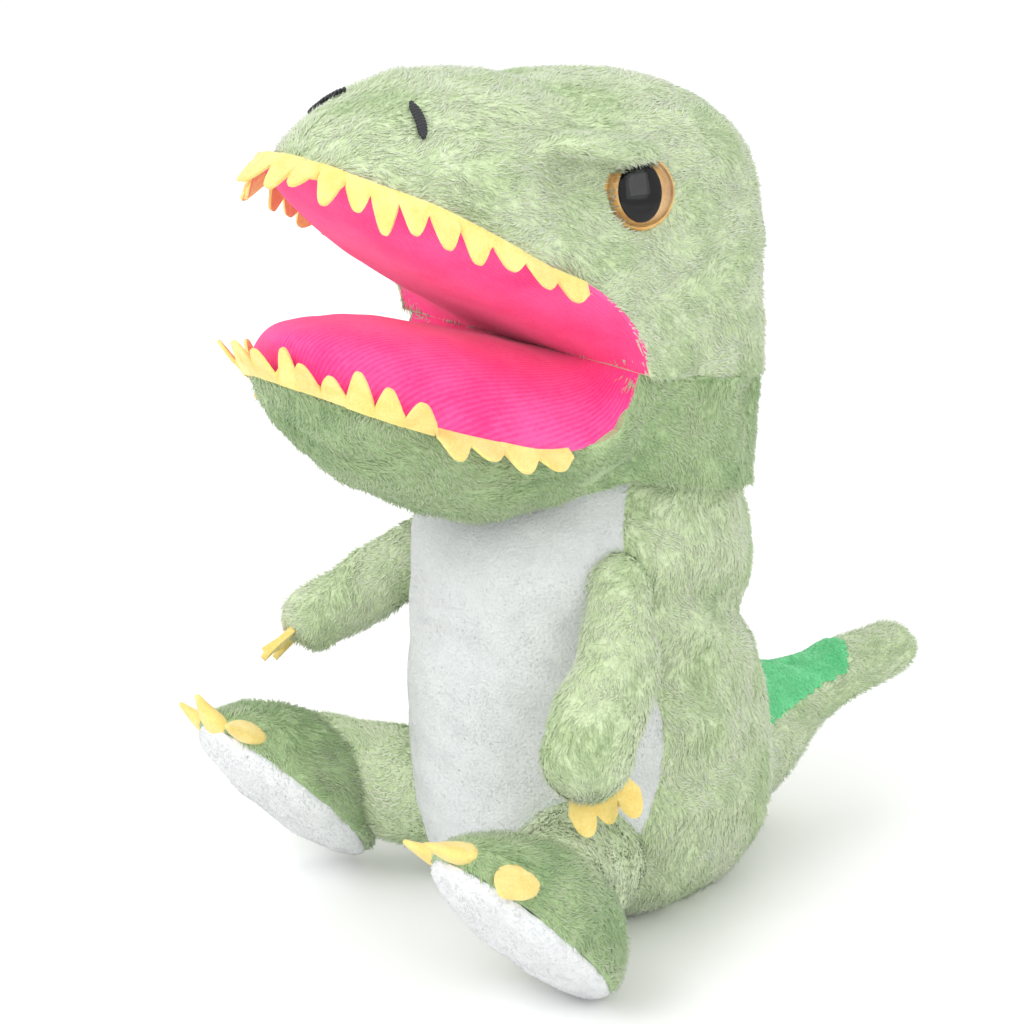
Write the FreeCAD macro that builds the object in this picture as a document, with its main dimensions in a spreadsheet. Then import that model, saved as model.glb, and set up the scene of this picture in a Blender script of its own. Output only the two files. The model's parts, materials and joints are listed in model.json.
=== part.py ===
import FreeCAD, Part
import math
import os
import re

import Sketcher
from FreeCAD import Placement, Rotation, Vector

# A seated plush dinosaur hand puppet with a moving mouth.
# Frame: +Z up, -Y is the way the puppet faces, +X is its left side.
# The origin is on the resting surface, on the axis of the body sleeve.
# Plate frames: the upper and lower mouth plates are modelled flat, with their
# crease along X at the origin and the snout towards -Y, then tilted about the
# crease into place.

doc = FreeCAD.newDocument("HandPuppet")

# ---------------------------------------------------------------- driving sizes
SIZES = {
    # cloth and fits
    "plush": 3.0,             # thickness of the pile cloth covers
    "lining": 1.5,            # thickness of the inner sleeve cloth
    "felt": 1.5,              # thickness of teeth and claws
    "joint_gap": 0.4,         # gap between pieces that swing past each other
    "rest_gap": 0.2,          # gap between pieces that only lie side by side
    # body sleeve: half widths (X), half depths (Y), centre offsets (Y), heights
    "hem_width": 52.0,
    "hem_depth": 58.0,
    "hem_offset": 2.0,
    "hip_height": 30.0,
    "hip_width": 58.0,
    "hip_depth": 64.0,
    "hip_offset": 2.0,
    "waist_height": 80.0,
    "waist_width": 58.0,
    "waist_depth": 63.0,
    "waist_offset": -4.0,
    "chest_height": 122.0,
    "chest_width": 56.0,
    "chest_depth": 60.0,
    "chest_offset": -5.0,
    "collar_height": 160.0,
    "collar_width": 55.0,
    "collar_depth": 57.0,
    "collar_offset": -2.0,
    "hem_band": 6.0,          # height of the bound hem
    "belly_angle": 140.0,     # sweep of the white front panel
    "stripe_angle": 28.0,     # sweep of the bright panel down the back
    # neck: ball of the head base, its gusset and the socket of the sleeve
    "neck_y": 3.0,
    "neck_z": 173.0,
    "neck_ball": 61.0,
    "gusset": 1.5,
    "gusset_inner": 44.0,
    "gusset_top": 158.0,
    # head: half widths, half depths, offsets and heights of the skull
    "skull_base": 130.0,
    "nape_width": 56.0,
    "nape_depth": 56.0,
    "nape_offset": -1.0,
    "cheek_height": 195.0,
    "cheek_width": 59.0,
    "cheek_depth": 57.0,
    "cheek_offset": -1.0,
    "eye_height": 248.0,
    "brow_width": 54.0,
    "brow_depth": 52.0,
    "brow_offset": -2.0,
    "dome_height": 268.0,
    "dome_width": 42.0,
    "dome_depth": 42.0,
    "dome_offset": -8.0,
    "crown_height": 280.0,
    "crown_width": 18.0,
    "crown_depth": 18.0,
    "crown_offset": -14.0,
    "nape_slope": 11.0,       # tilt of the seam between head cover and nape band
    "nape_front": 27.0,       # the band stops this far in front of the origin
    # mouth: crease, tilts and plates
    "crease_y": -31.0,
    "crease_z": 193.0,
    "upper_tilt": 37.5,
    "lower_tilt": 9.0,
    "snout_width": 61.0,
    "snout_length": 119.0,
    "snout_height": 72.0,
    "jaw_width": 56.0,
    "jaw_length": 108.0,
    "jaw_depth": 58.0,
    "jaw_swing_width": 70.0,  # room under the chin for the jaw to drop and turn
    "jaw_swing": 82.0,
    "mouth_cloth": 1.5,
    "board": 2.5,
    "crease_gap": 1.0,
    # finger and thumb pockets
    "pocket_wall": 1.2,
    "finger_width": 36.0,
    "finger_start": 16.0,
    "finger_end": 78.0,
    "finger_height": 23.0,
    "thumb_width": 17.0,
    "thumb_start": 14.0,
    "thumb_end": 62.0,
    "thumb_height": 23.0,
    "stuffing_floor": 208.0,  # height above which the crown is stuffed
    # teeth
    "tooth": 9.0,
    "tooth_root": 2.0,
    "teeth_start": 42.0,
    "upper_teeth": 15,
    "lower_teeth": 15,
    # eyes and nostrils
    "eye_radius": 12.0,
    "eye_dome": 7.0,
    "eye_plate": 2.0,
    "eye_sink": 1.0,
    "eye_y": -26.0,
    "eye_turn": 22.0,
    "eye_lift": 12.0,
    "pupil_width": 3.6,
    "pupil_height": 9.5,
    "pupil_depth": 1.2,
    "stem_radius": 3.0,
    "stem_length": 14.0,
    "washer_radius": 8.0,
    "washer": 1.6,
    "nostril_x": 25.0,
    "nostril_along": 99.0,
    "nostril_length": 6.5,
    "nostril_width": 1.3,
    "nostril_depth": 1.4,
    # arms
    "shoulder_angle": 62.0,   # place round the chest, from the front
    "shoulder_out": 12.0,
    "shoulder_height": 122.0,
    "shoulder_radius": 13.0,
    "elbow_radius": 15.5,
    "hand_radius": 13.5,
    "upper_arm": 26.0,
    "forearm": 27.0,
    "hand_claw": 11.0,
    "hand_claw_width": 21.0,
    # legs and feet
    "leg_angle": 46.0,        # place of the hip round the body, from the front
    "leg_height": 30.0,
    "hip_ball": 20.0,
    "thigh_radius": 19.0,
    "ankle_radius": 16.5,
    "foot_x": 70.0,
    "foot_y": -90.0,
    "foot_tilt": 46.0,
    "foot_width": 28.0,
    "foot_length": 41.0,
    "foot_height": 28.0,
    "ankle_rise": 5.6,        # height of the ankle centre above the sole
    "sole": 3.0,
    "sole_inset": 1.0,
    "toe_claw": 12.0,
    "toe_claw_width": 9.0,
    "toe_spread": 38.0,
    # tail
    "tail_y": 58.0,
    "tail_z": 34.0,
    "tail_ball": 27.0,
    "tail_root": 22.0,
    "tail_middle": 12.5,
    "tail_tip": 10.0,
    "tail_first": 48.0,
    "tail_second": 45.3,
    "tail_lift": 8.0,
    "stripe_end": 62.0,
    "stripe_start": 16.2,     # the bright patch starts this far behind the tail's root
    # working sizes
    "reach": 400.0,           # cutting blocks reach this far each way, past the whole puppet
    "eye_cut": 40.0,          # depth of the cuts under an eye
    "washer_grip": 4.0,       # cloth and fill gathered between an eye and its washer
}

sheet = doc.addObject("Spreadsheet::Sheet", "Sizes")
for row, (alias, number) in enumerate(SIZES.items(), start=1):
    sheet.set(f"A{row}", alias)
    sheet.set(f"B{row}", str(number))
    sheet.setAlias(f"B{row}", alias)
doc.recompute()

ALIAS = re.compile(r"\b(" + "|".join(SIZES) + r")\b")
SIDES = (("left", 1), ("right", -1))
nodes = []


def size(alias):
    return float(sheet.get(alias))


def bind(part, prop, formula):
    """Bind a property to a formula in the words of the sheet."""
    part.setExpression(prop, ALIAS.sub(r"Sizes.\1", formula))


def feature(kind, name, **formulas):
    part = doc.addObject(kind, name)
    for prop, formula in formulas.items():
        bind(part, prop, str(formula))
    return part


def place(part, x="0", y="0", z="0", axis=None, angle="0"):
    """Place a feature: turned about an axis, then moved."""
    if axis is not None:
        part.Placement = Placement(Vector(0, 0, 0), Rotation(Vector(*axis), 1.0))
        bind(part, "Placement.Rotation.Angle", angle)
    bind(part, "Placement.Base.x", x)
    bind(part, "Placement.Base.y", y)
    bind(part, "Placement.Base.z", z)
    return part


def in_upper_plate(part):
    return place(part, y="crease_y", z="crease_z", axis=(1, 0, 0), angle="-upper_tilt")


def in_lower_plate(part):
    return place(part, y="crease_y", z="crease_z", axis=(1, 0, 0), angle="-lower_tilt")


def sphere(name, radius):
    return feature("Part::Sphere", name, Radius=radius)


def cylinder(name, radius, height):
    return feature("Part::Cylinder", name, Radius=radius, Height=height)


def cone(name, low, high, height):
    return feature("Part::Cone", name, Radius1=low, Radius2=high, Height=height)


def ellipsoid(name, half_x, half_y, half_z):
    part = feature("Part::Ellipsoid", name, Radius1=half_z, Radius2=half_x, Radius3=half_y)
    part.Angle1 = -90
    part.Angle2 = 90
    return part


def block(name, x, y, z):
    """A box from (low, high) formulas along each axis."""
    part = feature("Part::Box", name, Length=f"{x[1]} - ({x[0]})",
                   Width=f"{y[1]} - ({y[0]})", Height=f"{z[1]} - ({z[0]})")
    return place(part, x[0], y[0], z[0])


def cut(name, base, *tools):
    tool = tools[0] if len(tools) == 1 else fuse(f"{name}_cutters", *tools)
    part = doc.addObject("Part::Cut", name)
    part.Base = base
    part.Tool = tool
    return part


def common(name, *shapes):
    part = doc.addObject("Part::MultiCommon", name)
    part.Shapes = list(shapes)
    return part


def fuse(name, *shapes):
    part = doc.addObject("Part::MultiFuse", name)
    part.Shapes = list(shapes)
    return part


def shaped(name, shape):
    """A feature whose shape is made with Part's own functions."""
    part = doc.addObject("Part::Feature", name)
    part.Shape = shape
    return part


def node(part, name):
    """Name a finished sub-part, which is written to its own file."""
    part.Label = name
    nodes.append(part)
    return part


def oval(half_width, half_depth, offset, height):
    stretch = FreeCAD.Matrix()
    stretch.scale(Vector(half_width, half_depth, 1.0))
    wire = Part.Wire(Part.Circle().toShape()).transformGeometry(stretch)
    wire.translate(Vector(0, offset, height))
    return wire


def oval_loft(sections, inset=0.0, over=0.0):
    """A smooth body through ovals, drawn in by inset and run past both ends."""
    last = len(sections) - 1
    wires = []
    for index, (height, width, depth, offset) in enumerate(sections):
        past = {0: -over, last: over}.get(index, 0.0)
        wires.append(oval(width - inset, depth - inset, offset, height + past))
    return Part.makeLoft(wires, True)


def sections(*names):
    """Read (height, width, depth, offset) of each named level from the sheet."""
    return [tuple(size(alias) for alias in level) for level in names]


# ------------------------------------------------------------------ flat pieces
def flat_body(name, thickness, start="0", plane="XY_Plane"):
    """A body with one sketch, padded to the thickness of its material."""
    body = doc.addObject("PartDesign::Body", name)
    sketch = body.newObject("Sketcher::SketchObject", f"{name}_sketch")
    for origin in body.Origin.OriginFeatures:
        if origin.Role == plane:
            sketch.AttachmentSupport = [(origin, "")]
    sketch.MapMode = "FlatFace"
    bind(sketch, "AttachmentOffset.Base.z", start)
    pad = body.newObject("PartDesign::Pad", f"{name}_pad")
    pad.Profile = sketch
    bind(pad, "Length", thickness)
    return body, sketch


def closed_outline(sketch, points):
    """Straight edges through points, joined end to end."""
    first = sketch.GeometryCount
    for here, there in zip(points, points[1:] + points[:1]):
        sketch.addGeometry(Part.LineSegment(Vector(*here, 0), Vector(*there, 0)), False)
    count = len(points)
    for index in range(count):
        follower = first + (index + 1) % count
        sketch.addConstraint(Sketcher.Constraint("Coincident", first + index, 2, follower, 1))


def half_oval(sketch, half_width, length, start):
    """The front half of an oval, closed by a straight edge at the crease."""
    steps = 48
    low = math.asin(start / length)
    points = []
    for step in range(steps + 1):
        turn = low + (math.pi - 2 * low) * step / steps
        points.append((half_width * math.cos(turn), -length * math.sin(turn)))
    closed_outline(sketch, points)


def rim_point(half_width, length, turn, out=0.0):
    """A point on the rim of a mouth plate, moved out along the rim's normal."""
    x = half_width * math.cos(turn)
    y = -length * math.sin(turn)
    slope = Vector(math.cos(turn) / half_width, -math.sin(turn) / length, 0).normalize()
    return (x + slope.x * out, y + slope.y * out)


def tooth_strip(sketch, half_width, length, count, start, root, tooth):
    """A felt strip round the rim of a plate: a smooth root and pointed teeth."""
    low = math.asin(start / length)
    span = math.pi - 2 * low
    outer = []
    for index in range(count):
        valley = low + span * index / count
        tip = low + span * (index + 0.5) / count
        outer.append(rim_point(half_width, length, valley, 1.0))
        outer.append(rim_point(half_width, length, tip, tooth))
    outer.append(rim_point(half_width, length, math.pi - low, 1.0))
    inner = []
    for index in range(2 * count + 1):
        turn = math.pi - low - span * index / (2 * count)
        inner.append(rim_point(half_width, length, turn, -root))
    closed_outline(sketch, outer + inner)


# ------------------------------------------------------------------ body sleeve
BODY_LEVELS = sections(
    ("hip_height", "hip_width", "hip_depth", "hip_offset"),
    ("waist_height", "waist_width", "waist_depth", "waist_offset"),
    ("chest_height", "chest_width", "chest_depth", "chest_offset"),
    ("collar_height", "collar_width", "collar_depth", "collar_offset"))
BODY_LEVELS.insert(0, (0.0, size("hem_width"), size("hem_depth"), size("hem_offset")))
OVERRUN = 5.0


def shoulder_point(sign):
    """A point just outside the chest wall, its outward normal and its distance."""
    turn = math.radians(size("shoulder_angle"))
    width, depth = size("chest_width"), size("chest_depth")
    wall = Vector(sign * width * math.sin(turn),
                  size("chest_offset") - depth * math.cos(turn), size("shoulder_height"))
    normal = Vector(sign * math.sin(turn) / width, -math.cos(turn) / depth, 0).normalize()
    return wall + normal * size("shoulder_out")


def hip_point(sign):
    turn = math.radians(size("leg_angle"))
    return Vector(sign * size("hip_width") * math.sin(turn),
                  size("hip_offset") - size("hip_depth") * math.cos(turn), size("leg_height"))


def at_point(part, point):
    part.Placement = Placement(point, Rotation())
    return part


def along(part, start, direction):
    """Place a feature modelled along +Z so that it leaves start along a direction."""
    part.Placement = Placement(start, Rotation(Vector(0, 0, 1), direction))
    return part


sleeve_outer = shaped("sleeve_outer", oval_loft(BODY_LEVELS))
sleeve_middle = shaped("sleeve_middle", oval_loft(BODY_LEVELS, size("plush"), OVERRUN))
sleeve_inner = shaped("sleeve_inner",
                      oval_loft(BODY_LEVELS, size("plush") + size("lining"), OVERRUN))

neck_socket = place(sphere("neck_socket", "neck_ball + gusset + 2 * joint_gap"),
                    y="neck_y", z="neck_z")
jaw_room = place(ellipsoid("jaw_room", "jaw_swing_width", "jaw_swing", "jaw_swing"),
                 y="crease_y", z="crease_z")
tail_socket = place(sphere("tail_socket", "tail_ball + joint_gap"), y="tail_y", z="tail_z")
sockets = [neck_socket, jaw_room, tail_socket]
for side, sign in SIDES:
    hip_socket = sphere(f"{side}_hip_socket", "hip_ball + joint_gap")
    sockets.append(at_point(hip_socket, hip_point(sign)))
    arm_socket = sphere(f"{side}_arm_socket", "shoulder_radius + joint_gap")
    sockets.append(at_point(arm_socket, shoulder_point(sign)))
all_sockets = fuse("all_sockets", *sockets)

hem_slab = block("hem_slab", ("-reach", "reach"), ("-reach", "reach"), ("-10", "hem_band"))
above_hem = block("above_hem", ("-reach", "reach"), ("-reach", "reach"), ("hem_band", "reach"))
hem_ring = cut("hem_ring", sleeve_outer, sleeve_inner)
node(common("hem_band", hem_ring, hem_slab), "hem_band")

cover_shell = common("cover_shell", cut("cover_wall", sleeve_outer, sleeve_middle), above_hem)
cover_open = cut("cover_open", cover_shell, all_sockets)
belly_start = "270 - belly_angle / 2"
belly_end = "270 + belly_angle / 2"
PANELS = (("belly_panel", belly_start, "belly_angle"),
          ("left_side_panel", belly_end, "180 - belly_angle / 2 - stripe_angle / 2"),
          ("back_stripe", "90 - stripe_angle / 2", "stripe_angle"),
          ("right_side_panel", "90 + stripe_angle / 2",
           "180 - belly_angle / 2 - stripe_angle / 2"))
for name, start, sweep in PANELS:
    wedge = cylinder(f"{name}_wedge", "reach", "reach")
    bind(wedge, "Angle", sweep)
    place(wedge, axis=(0, 0, 1), angle=start)
    panel = common(f"{name}_blank", cover_open, wedge)
    if name == "back_stripe":
        below_tail = block("below_tail", ("-reach", "reach"), ("0", "reach"), ("-10", "tail_z"))
        panel = cut("back_stripe_above_tail", panel, below_tail)
    node(panel, name)

lining_shell = common("lining_shell", cut("lining_wall", sleeve_middle, sleeve_inner), above_hem)
lining_top = block("lining_top", ("-reach", "reach"), ("-reach", "reach"), ("collar_height", "reach"))
node(cut("sleeve_lining", lining_shell, all_sockets, lining_top), "sleeve_lining")

# ------------------------------------------------------------------------ neck
gusset_outer = sphere("gusset_outer", "neck_ball + gusset + joint_gap")
gusset_hollow = sphere("gusset_hollow", "neck_ball + joint_gap")
gusset_ring = cylinder("gusset_ring", "collar_width - 1", "neck_z")
gusset_bore = cylinder("gusset_bore", "gusset_inner", "neck_z")
gusset_lid = block("gusset_lid", ("-reach", "reach"), ("-reach", "reach"), ("gusset_top", "reach"))
for piece in (gusset_outer, gusset_hollow):
    place(piece, y="neck_y", z="neck_z")
gusset_band = cut("gusset_band", gusset_outer, gusset_hollow, gusset_bore, gusset_lid, jaw_room)
node(common("neck_gusset", gusset_band, gusset_ring), "neck_gusset")

# ------------------------------------------------------------------------ head
SKULL_LEVELS = sections(
    ("skull_base", "nape_width", "nape_depth", "nape_offset"),
    ("cheek_height", "cheek_width", "cheek_depth", "cheek_offset"),
    ("eye_height", "brow_width", "brow_depth", "brow_offset"),
    ("dome_height", "dome_width", "dome_depth", "dome_offset"),
    ("crown_height", "crown_width", "crown_depth", "crown_offset"))
skull_outer = shaped("skull_outer", oval_loft(SKULL_LEVELS))
skull_hollow = oval_loft([(level[0] - size("plush") * (index > 2), *level[1:])
                          for index, level in enumerate(SKULL_LEVELS)], size("plush"))
skull_inner = shaped("skull_inner", skull_hollow)

snout_outer_oval = ellipsoid("snout_outer_oval", "snout_width", "snout_length", "snout_height")
snout_inner_oval = ellipsoid("snout_inner_oval", "snout_width - plush",
                             "snout_length - plush", "snout_height - plush")
for piece in (snout_outer_oval, snout_inner_oval):
    in_upper_plate(piece)


def plate_block(name, y, z, placer):
    """A block in a plate frame: y along the plate, z square to it."""
    part = feature("Part::Box", name, Length="2 * reach", Width=f"{y[1]} - ({y[0]})",
                   Height=f"{z[1]} - ({z[0]})")
    holder = doc.addObject("Part::Compound", f"{name}_placed")
    place(part, "-reach", y[0], z[0])
    holder.Links = [part]
    return placer(holder)


upper_half = plate_block("upper_half", ("-reach", "0"), ("0", "reach"), in_upper_plate)
mouth_space = plate_block("mouth_space", ("-reach", "0"), ("-reach", "0"), in_upper_plate)
jaw_space = block("jaw_space", ("-reach", "reach"), ("-reach", "-nape_front"), ("-reach", "crease_z"))
snout_outer = common("snout_outer", snout_outer_oval, upper_half)
snout_inner = common("snout_inner", snout_inner_oval, upper_half)
head_outer = fuse("head_outer", skull_outer, snout_outer)
head_inner = fuse("head_inner", skull_inner, snout_inner)

neck_ball = place(sphere("neck_ball", "neck_ball"), y="neck_y", z="neck_z")
below_neck = block("below_neck", ("-reach", "reach"), ("-reach", "reach"), ("0", "neck_z"))
neck_trim = cut("neck_trim", below_neck, neck_ball)


def eye_centre(sign):
    """On the brow level of the skull, sunk a little into the cover."""
    across = (size("eye_y") - size("brow_offset")) / size("brow_depth")
    x = size("brow_width") * math.sqrt(1.0 - across ** 2) - size("eye_sink")
    return Vector(sign * x, size("eye_y"), size("eye_height"))


def eye_direction(sign):
    turn = math.radians(size("eye_turn"))
    lift = math.radians(size("eye_lift"))
    return Vector(sign * math.cos(turn) * math.cos(lift), -math.sin(turn) * math.cos(lift),
                  math.sin(lift))


def eye_frame(part, sign, inward="0"):
    """Local +Z looks out of the eye and local +Y is up the slit of the pupil."""
    out = eye_direction(sign)
    across = Vector(0, 0, 1).cross(out).normalize()
    turn = Rotation(across, out.cross(across), out, "ZXY")
    depth = size(inward) if inward in SIZES else float(inward)
    part.Placement = Placement(eye_centre(sign) - out * depth, turn)
    return part


eye_seats = []
stuffing_cuts = []
for side, sign in SIDES:
    seat = cylinder(f"{side}_eye_seat", "eye_radius + rest_gap", "eye_cut")
    hole = cylinder(f"{side}_stem_hole", "stem_radius + rest_gap", "eye_cut")
    room = cylinder(f"{side}_washer_room", "washer_radius + 1", "eye_cut")
    eye_seats.append(eye_frame(seat, sign))
    eye_seats.append(eye_frame(hole, sign, "20"))
    stuffing_cuts.append(eye_frame(room, sign, "20"))

head_shell = cut("head_shell", head_outer, head_inner, mouth_space, jaw_space, neck_trim,
                 *eye_seats)
seam_block = feature("Part::Box", "seam_block", Length="2 * reach", Width="2 * reach", Height="reach")
place(seam_block, "-reach", "-reach", "0")
seam_lid = doc.addObject("Part::Compound", "seam_lid")
seam_lid.Links = [seam_block]
place(seam_lid, y="crease_y", z="crease_z", axis=(1, 0, 0), angle="-nape_slope")
node(common("head_cover", head_shell, seam_lid), "head_cover")
node(cut("nape_band", head_shell, seam_lid), "nape_band")

# mouth plates of the head
body, sketch = flat_body("upper_mouth_lining", "mouth_cloth")
half_oval(sketch, size("snout_width") - size("plush") - size("rest_gap"),
          size("snout_length") - size("plush") - size("rest_gap"), size("crease_gap"))
node(in_upper_plate(body), "upper_mouth_lining")
body, sketch = flat_body("upper_mouth_board", "board", start="mouth_cloth")
half_oval(sketch, size("snout_width") - size("plush") - 1.0,
          size("snout_length") - size("plush") - 1.0, size("crease_gap"))
node(in_upper_plate(body), "upper_mouth_board")
body, sketch = flat_body("upper_teeth", "felt", start="-felt")
tooth_strip(sketch, size("snout_width"), size("snout_length"), int(size("upper_teeth")),
            size("teeth_start"), size("tooth_root"), size("tooth"))
node(in_upper_plate(body), "upper_teeth")

pocket_foot = "mouth_cloth + board"
pocket_shell = feature("Part::Box", "finger_pocket_shell", Length="2 * finger_width",
                       Width="finger_end - finger_start", Height="finger_height")
place(pocket_shell, "-finger_width", "-finger_end", pocket_foot)
pocket_hollow = feature("Part::Box", "finger_pocket_hollow",
                        Length="2 * (finger_width - pocket_wall)",
                        Width="finger_end - finger_start", Height="finger_height")
place(pocket_hollow, "-finger_width + pocket_wall", "-finger_end + pocket_wall",
      f"{pocket_foot} - pocket_wall")
finger_pocket = cut("finger_pocket", pocket_shell, pocket_hollow)
node(in_upper_plate(finger_pocket), "finger_pocket")

above_pocket = plate_block("above_pocket", ("-reach", "reach"),
                           (f"{pocket_foot} + finger_height + rest_gap", "reach"), in_upper_plate)
above_floor = block("above_floor", ("-reach", "reach"), ("-reach", "reach"), ("stuffing_floor", "reach"))
stuffing_block = common("stuffing_block", head_inner, above_pocket, above_floor)
node(cut("head_stuffing", stuffing_block, *stuffing_cuts, *eye_seats), "head_stuffing")

# ------------------------------------------------------------------- lower jaw
lower_half = plate_block("lower_half", ("-reach", "-crease_gap"), ("-reach", "0"), in_lower_plate)
jaw_outer_oval = ellipsoid("jaw_outer_oval", "jaw_width", "jaw_length", "jaw_depth")
jaw_inner_oval = ellipsoid("jaw_inner_oval", "jaw_width - plush", "jaw_length - plush",
                           "jaw_depth - plush")
for piece in (jaw_outer_oval, jaw_inner_oval):
    in_lower_plate(piece)
jaw_shell = cut("jaw_shell", jaw_outer_oval, jaw_inner_oval)
node(common("jaw_cover", jaw_shell, lower_half), "jaw_cover")

body, sketch = flat_body("lower_mouth_lining", "mouth_cloth", start="-mouth_cloth")
half_oval(sketch, size("jaw_width") - size("plush") - size("rest_gap"),
          size("jaw_length") - size("plush") - size("rest_gap"), size("crease_gap"))
node(in_lower_plate(body), "lower_mouth_lining")
body, sketch = flat_body("lower_mouth_board", "board", start="-mouth_cloth - board")
half_oval(sketch, size("jaw_width") - size("plush") - 1.0,
          size("jaw_length") - size("plush") - 1.0, size("crease_gap"))
node(in_lower_plate(body), "lower_mouth_board")
body, sketch = flat_body("lower_teeth", "felt")
tooth_strip(sketch, size("jaw_width"), size("jaw_length"), int(size("lower_teeth")),
            size("teeth_start"), size("tooth_root"), size("tooth"))
node(in_lower_plate(body), "lower_teeth")

thumb_top = "-(mouth_cloth + board)"
thumb_shell = feature("Part::Box", "thumb_pocket_shell", Length="2 * thumb_width",
                      Width="thumb_end - thumb_start", Height="thumb_height")
place(thumb_shell, "-thumb_width", "-thumb_end", f"{thumb_top} - thumb_height")
thumb_hollow = feature("Part::Box", "thumb_pocket_hollow",
                       Length="2 * (thumb_width - pocket_wall)",
                       Width="thumb_end - thumb_start", Height="thumb_height")
place(thumb_hollow, "-thumb_width + pocket_wall", "-thumb_end + pocket_wall",
      f"{thumb_top} - thumb_height + pocket_wall")
thumb_pocket = cut("thumb_pocket", thumb_shell, thumb_hollow)
node(in_lower_plate(thumb_pocket), "thumb_pocket")

chin_block = plate_block("chin_block", ("-reach", "-thumb_start"), ("-reach", thumb_top),
                         in_lower_plate)
thumb_room = feature("Part::Box", "thumb_room", Length="2 * (thumb_width + rest_gap)",
                     Width="thumb_end + rest_gap", Height="thumb_height + rest_gap")
place(thumb_room, "-thumb_width - rest_gap", "-thumb_end - rest_gap",
      f"{thumb_top} - thumb_height - rest_gap")
thumb_room_placed = doc.addObject("Part::Compound", "thumb_room_placed")
thumb_room_placed.Links = [thumb_room]
in_lower_plate(thumb_room_placed)
chin_fill = common("chin_fill", jaw_inner_oval, chin_block)
node(cut("chin_stuffing", chin_fill, thumb_room_placed), "chin_stuffing")

# ------------------------------------------------------------ eyes and nostrils
for side, sign in SIDES:
    plate = cylinder(f"{side}_eye_plate", "eye_radius", "eye_plate")
    stem = place(cylinder(f"{side}_eye_stem", "stem_radius", "stem_length"), z="-stem_length")
    backing = fuse(f"{side}_eye_iris", plate, stem)
    node(eye_frame(backing, sign), f"{side}_eye_iris")

    dome_oval = place(ellipsoid(f"{side}_dome_oval", "eye_radius", "eye_radius", "eye_dome"),
                      z="eye_plate")
    dome_top = block(f"{side}_dome_top", ("-50", "50"), ("-50", "50"), ("eye_plate", "50"))
    pupil_oval = place(ellipsoid(f"{side}_pupil_oval", "pupil_width", "pupil_height",
                                 "pupil_depth"), z="eye_plate")
    pupil = common(f"{side}_pupil", pupil_oval, dome_top)
    dome = cut(f"{side}_eye_dome", common(f"{side}_dome_half", dome_oval, dome_top), pupil_oval)
    node(eye_frame(dome, sign), f"{side}_eye_dome")
    node(eye_frame(pupil, sign), f"{side}_pupil")

    disc = cylinder(f"{side}_washer_disc", "washer_radius", "washer")
    bore = place(cylinder(f"{side}_washer_bore", "stem_radius + rest_gap", "washer + 2"), z="-1")
    washer = cut(f"{side}_eye_washer", disc, bore)
    eye_frame(washer, sign, str(size("plush") + size("washer") + size("washer_grip")))
    node(washer, f"{side}_eye_washer")


def nostril_point(sign):
    """On the snout, in the frame of the upper plate."""
    across = size("nostril_x") / size("snout_width")
    ahead = size("nostril_along") / size("snout_length")
    up = size("snout_height") * math.sqrt(1.0 - across ** 2 - ahead ** 2)
    return Vector(sign * size("nostril_x"), -size("nostril_along"), up)


upper_plate_place = Placement(Vector(0, size("crease_y"), size("crease_z")),
                              Rotation(Vector(1, 0, 0), -size("upper_tilt")))
for side, sign in SIDES:
    bar = ellipsoid(f"{side}_nostril_bar", "nostril_width", "nostril_length", "nostril_depth")
    point = nostril_point(sign)
    normal = Vector(point.x / size("snout_width") ** 2, point.y / size("snout_length") ** 2,
                    point.z / size("snout_height") ** 2).normalize()
    back = Vector(0, 1, 0)
    lie = (back - normal * back.dot(normal)).normalize()
    local = Placement(point, Rotation(lie.cross(normal), lie, normal, "ZXY"))
    bar.Placement = upper_plate_place.multiply(local)
    node(cut(f"{side}_nostril", bar, snout_outer_oval), f"{side}_nostril")

# ------------------------------------------------------------------------ arms
ARM_REACH = {"left": Vector(14.0, -26.0, -44.0), "right": Vector(-22.0, -45.0, -38.0)}


def limb(name, radii, lengths, trim="0"):
    """A row of cones with round ends, along +Z, drawn in by trim all over."""
    pieces = [sphere(f"{name}_start", f"{radii[0]} - {trim}")]
    height = "0"
    for index, length in enumerate(lengths):
        taper = cone(f"{name}_cone{index}", f"{radii[index]} - {trim}",
                     f"{radii[index + 1]} - {trim}", length)
        pieces.append(place(taper, z=height))
        height = f"{height} + {length}"
    end = sphere(f"{name}_end", f"{radii[-1]} - {trim}")
    pieces.append(place(end, z=height))
    return fuse(name, *pieces)


def claw_fingers(sketch, width, length, base):
    """Three rounded felt fingers on one root, pointing along +Y of the sketch."""
    third = width / 3.0
    points = [(-width / 2, base)]
    for index in range(3):
        left = -width / 2 + index * third
        points.append((left + 0.18 * third, base + 0.62 * length))
        points.append((left + 0.36 * third, base + 0.92 * length))
        points.append((left + 0.50 * third, base + length))
        points.append((left + 0.64 * third, base + 0.92 * length))
        points.append((left + 0.82 * third, base + 0.62 * length))
        if index < 2:
            points.append((left + third, base + 0.3 * length))
    points.append((width / 2, base))
    closed_outline(sketch, points)


for side, sign in SIDES:
    radii = ("shoulder_radius", "elbow_radius", "hand_radius")
    lengths = ("upper_arm", "forearm")
    start = shoulder_point(sign)
    reach = ARM_REACH[side]
    outer = along(limb(f"{side}_arm_outer", radii, lengths), start, reach)
    inner = along(limb(f"{side}_arm_stuffing", radii, lengths, "plush"), start, reach)
    node(cut(f"{side}_arm", outer, inner), f"{side}_arm")
    node(inner, f"{side}_arm_stuffing")
    body, sketch = flat_body(f"{side}_hand_claws", "felt", start="-felt / 2", plane="XZ_Plane")
    claw_base = size("upper_arm") + size("forearm") + size("hand_radius") + size("rest_gap")
    claw_fingers(sketch, size("hand_claw_width"), size("hand_claw"), claw_base)
    node(along(body, start, reach), f"{side}_hand_claws")

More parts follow.
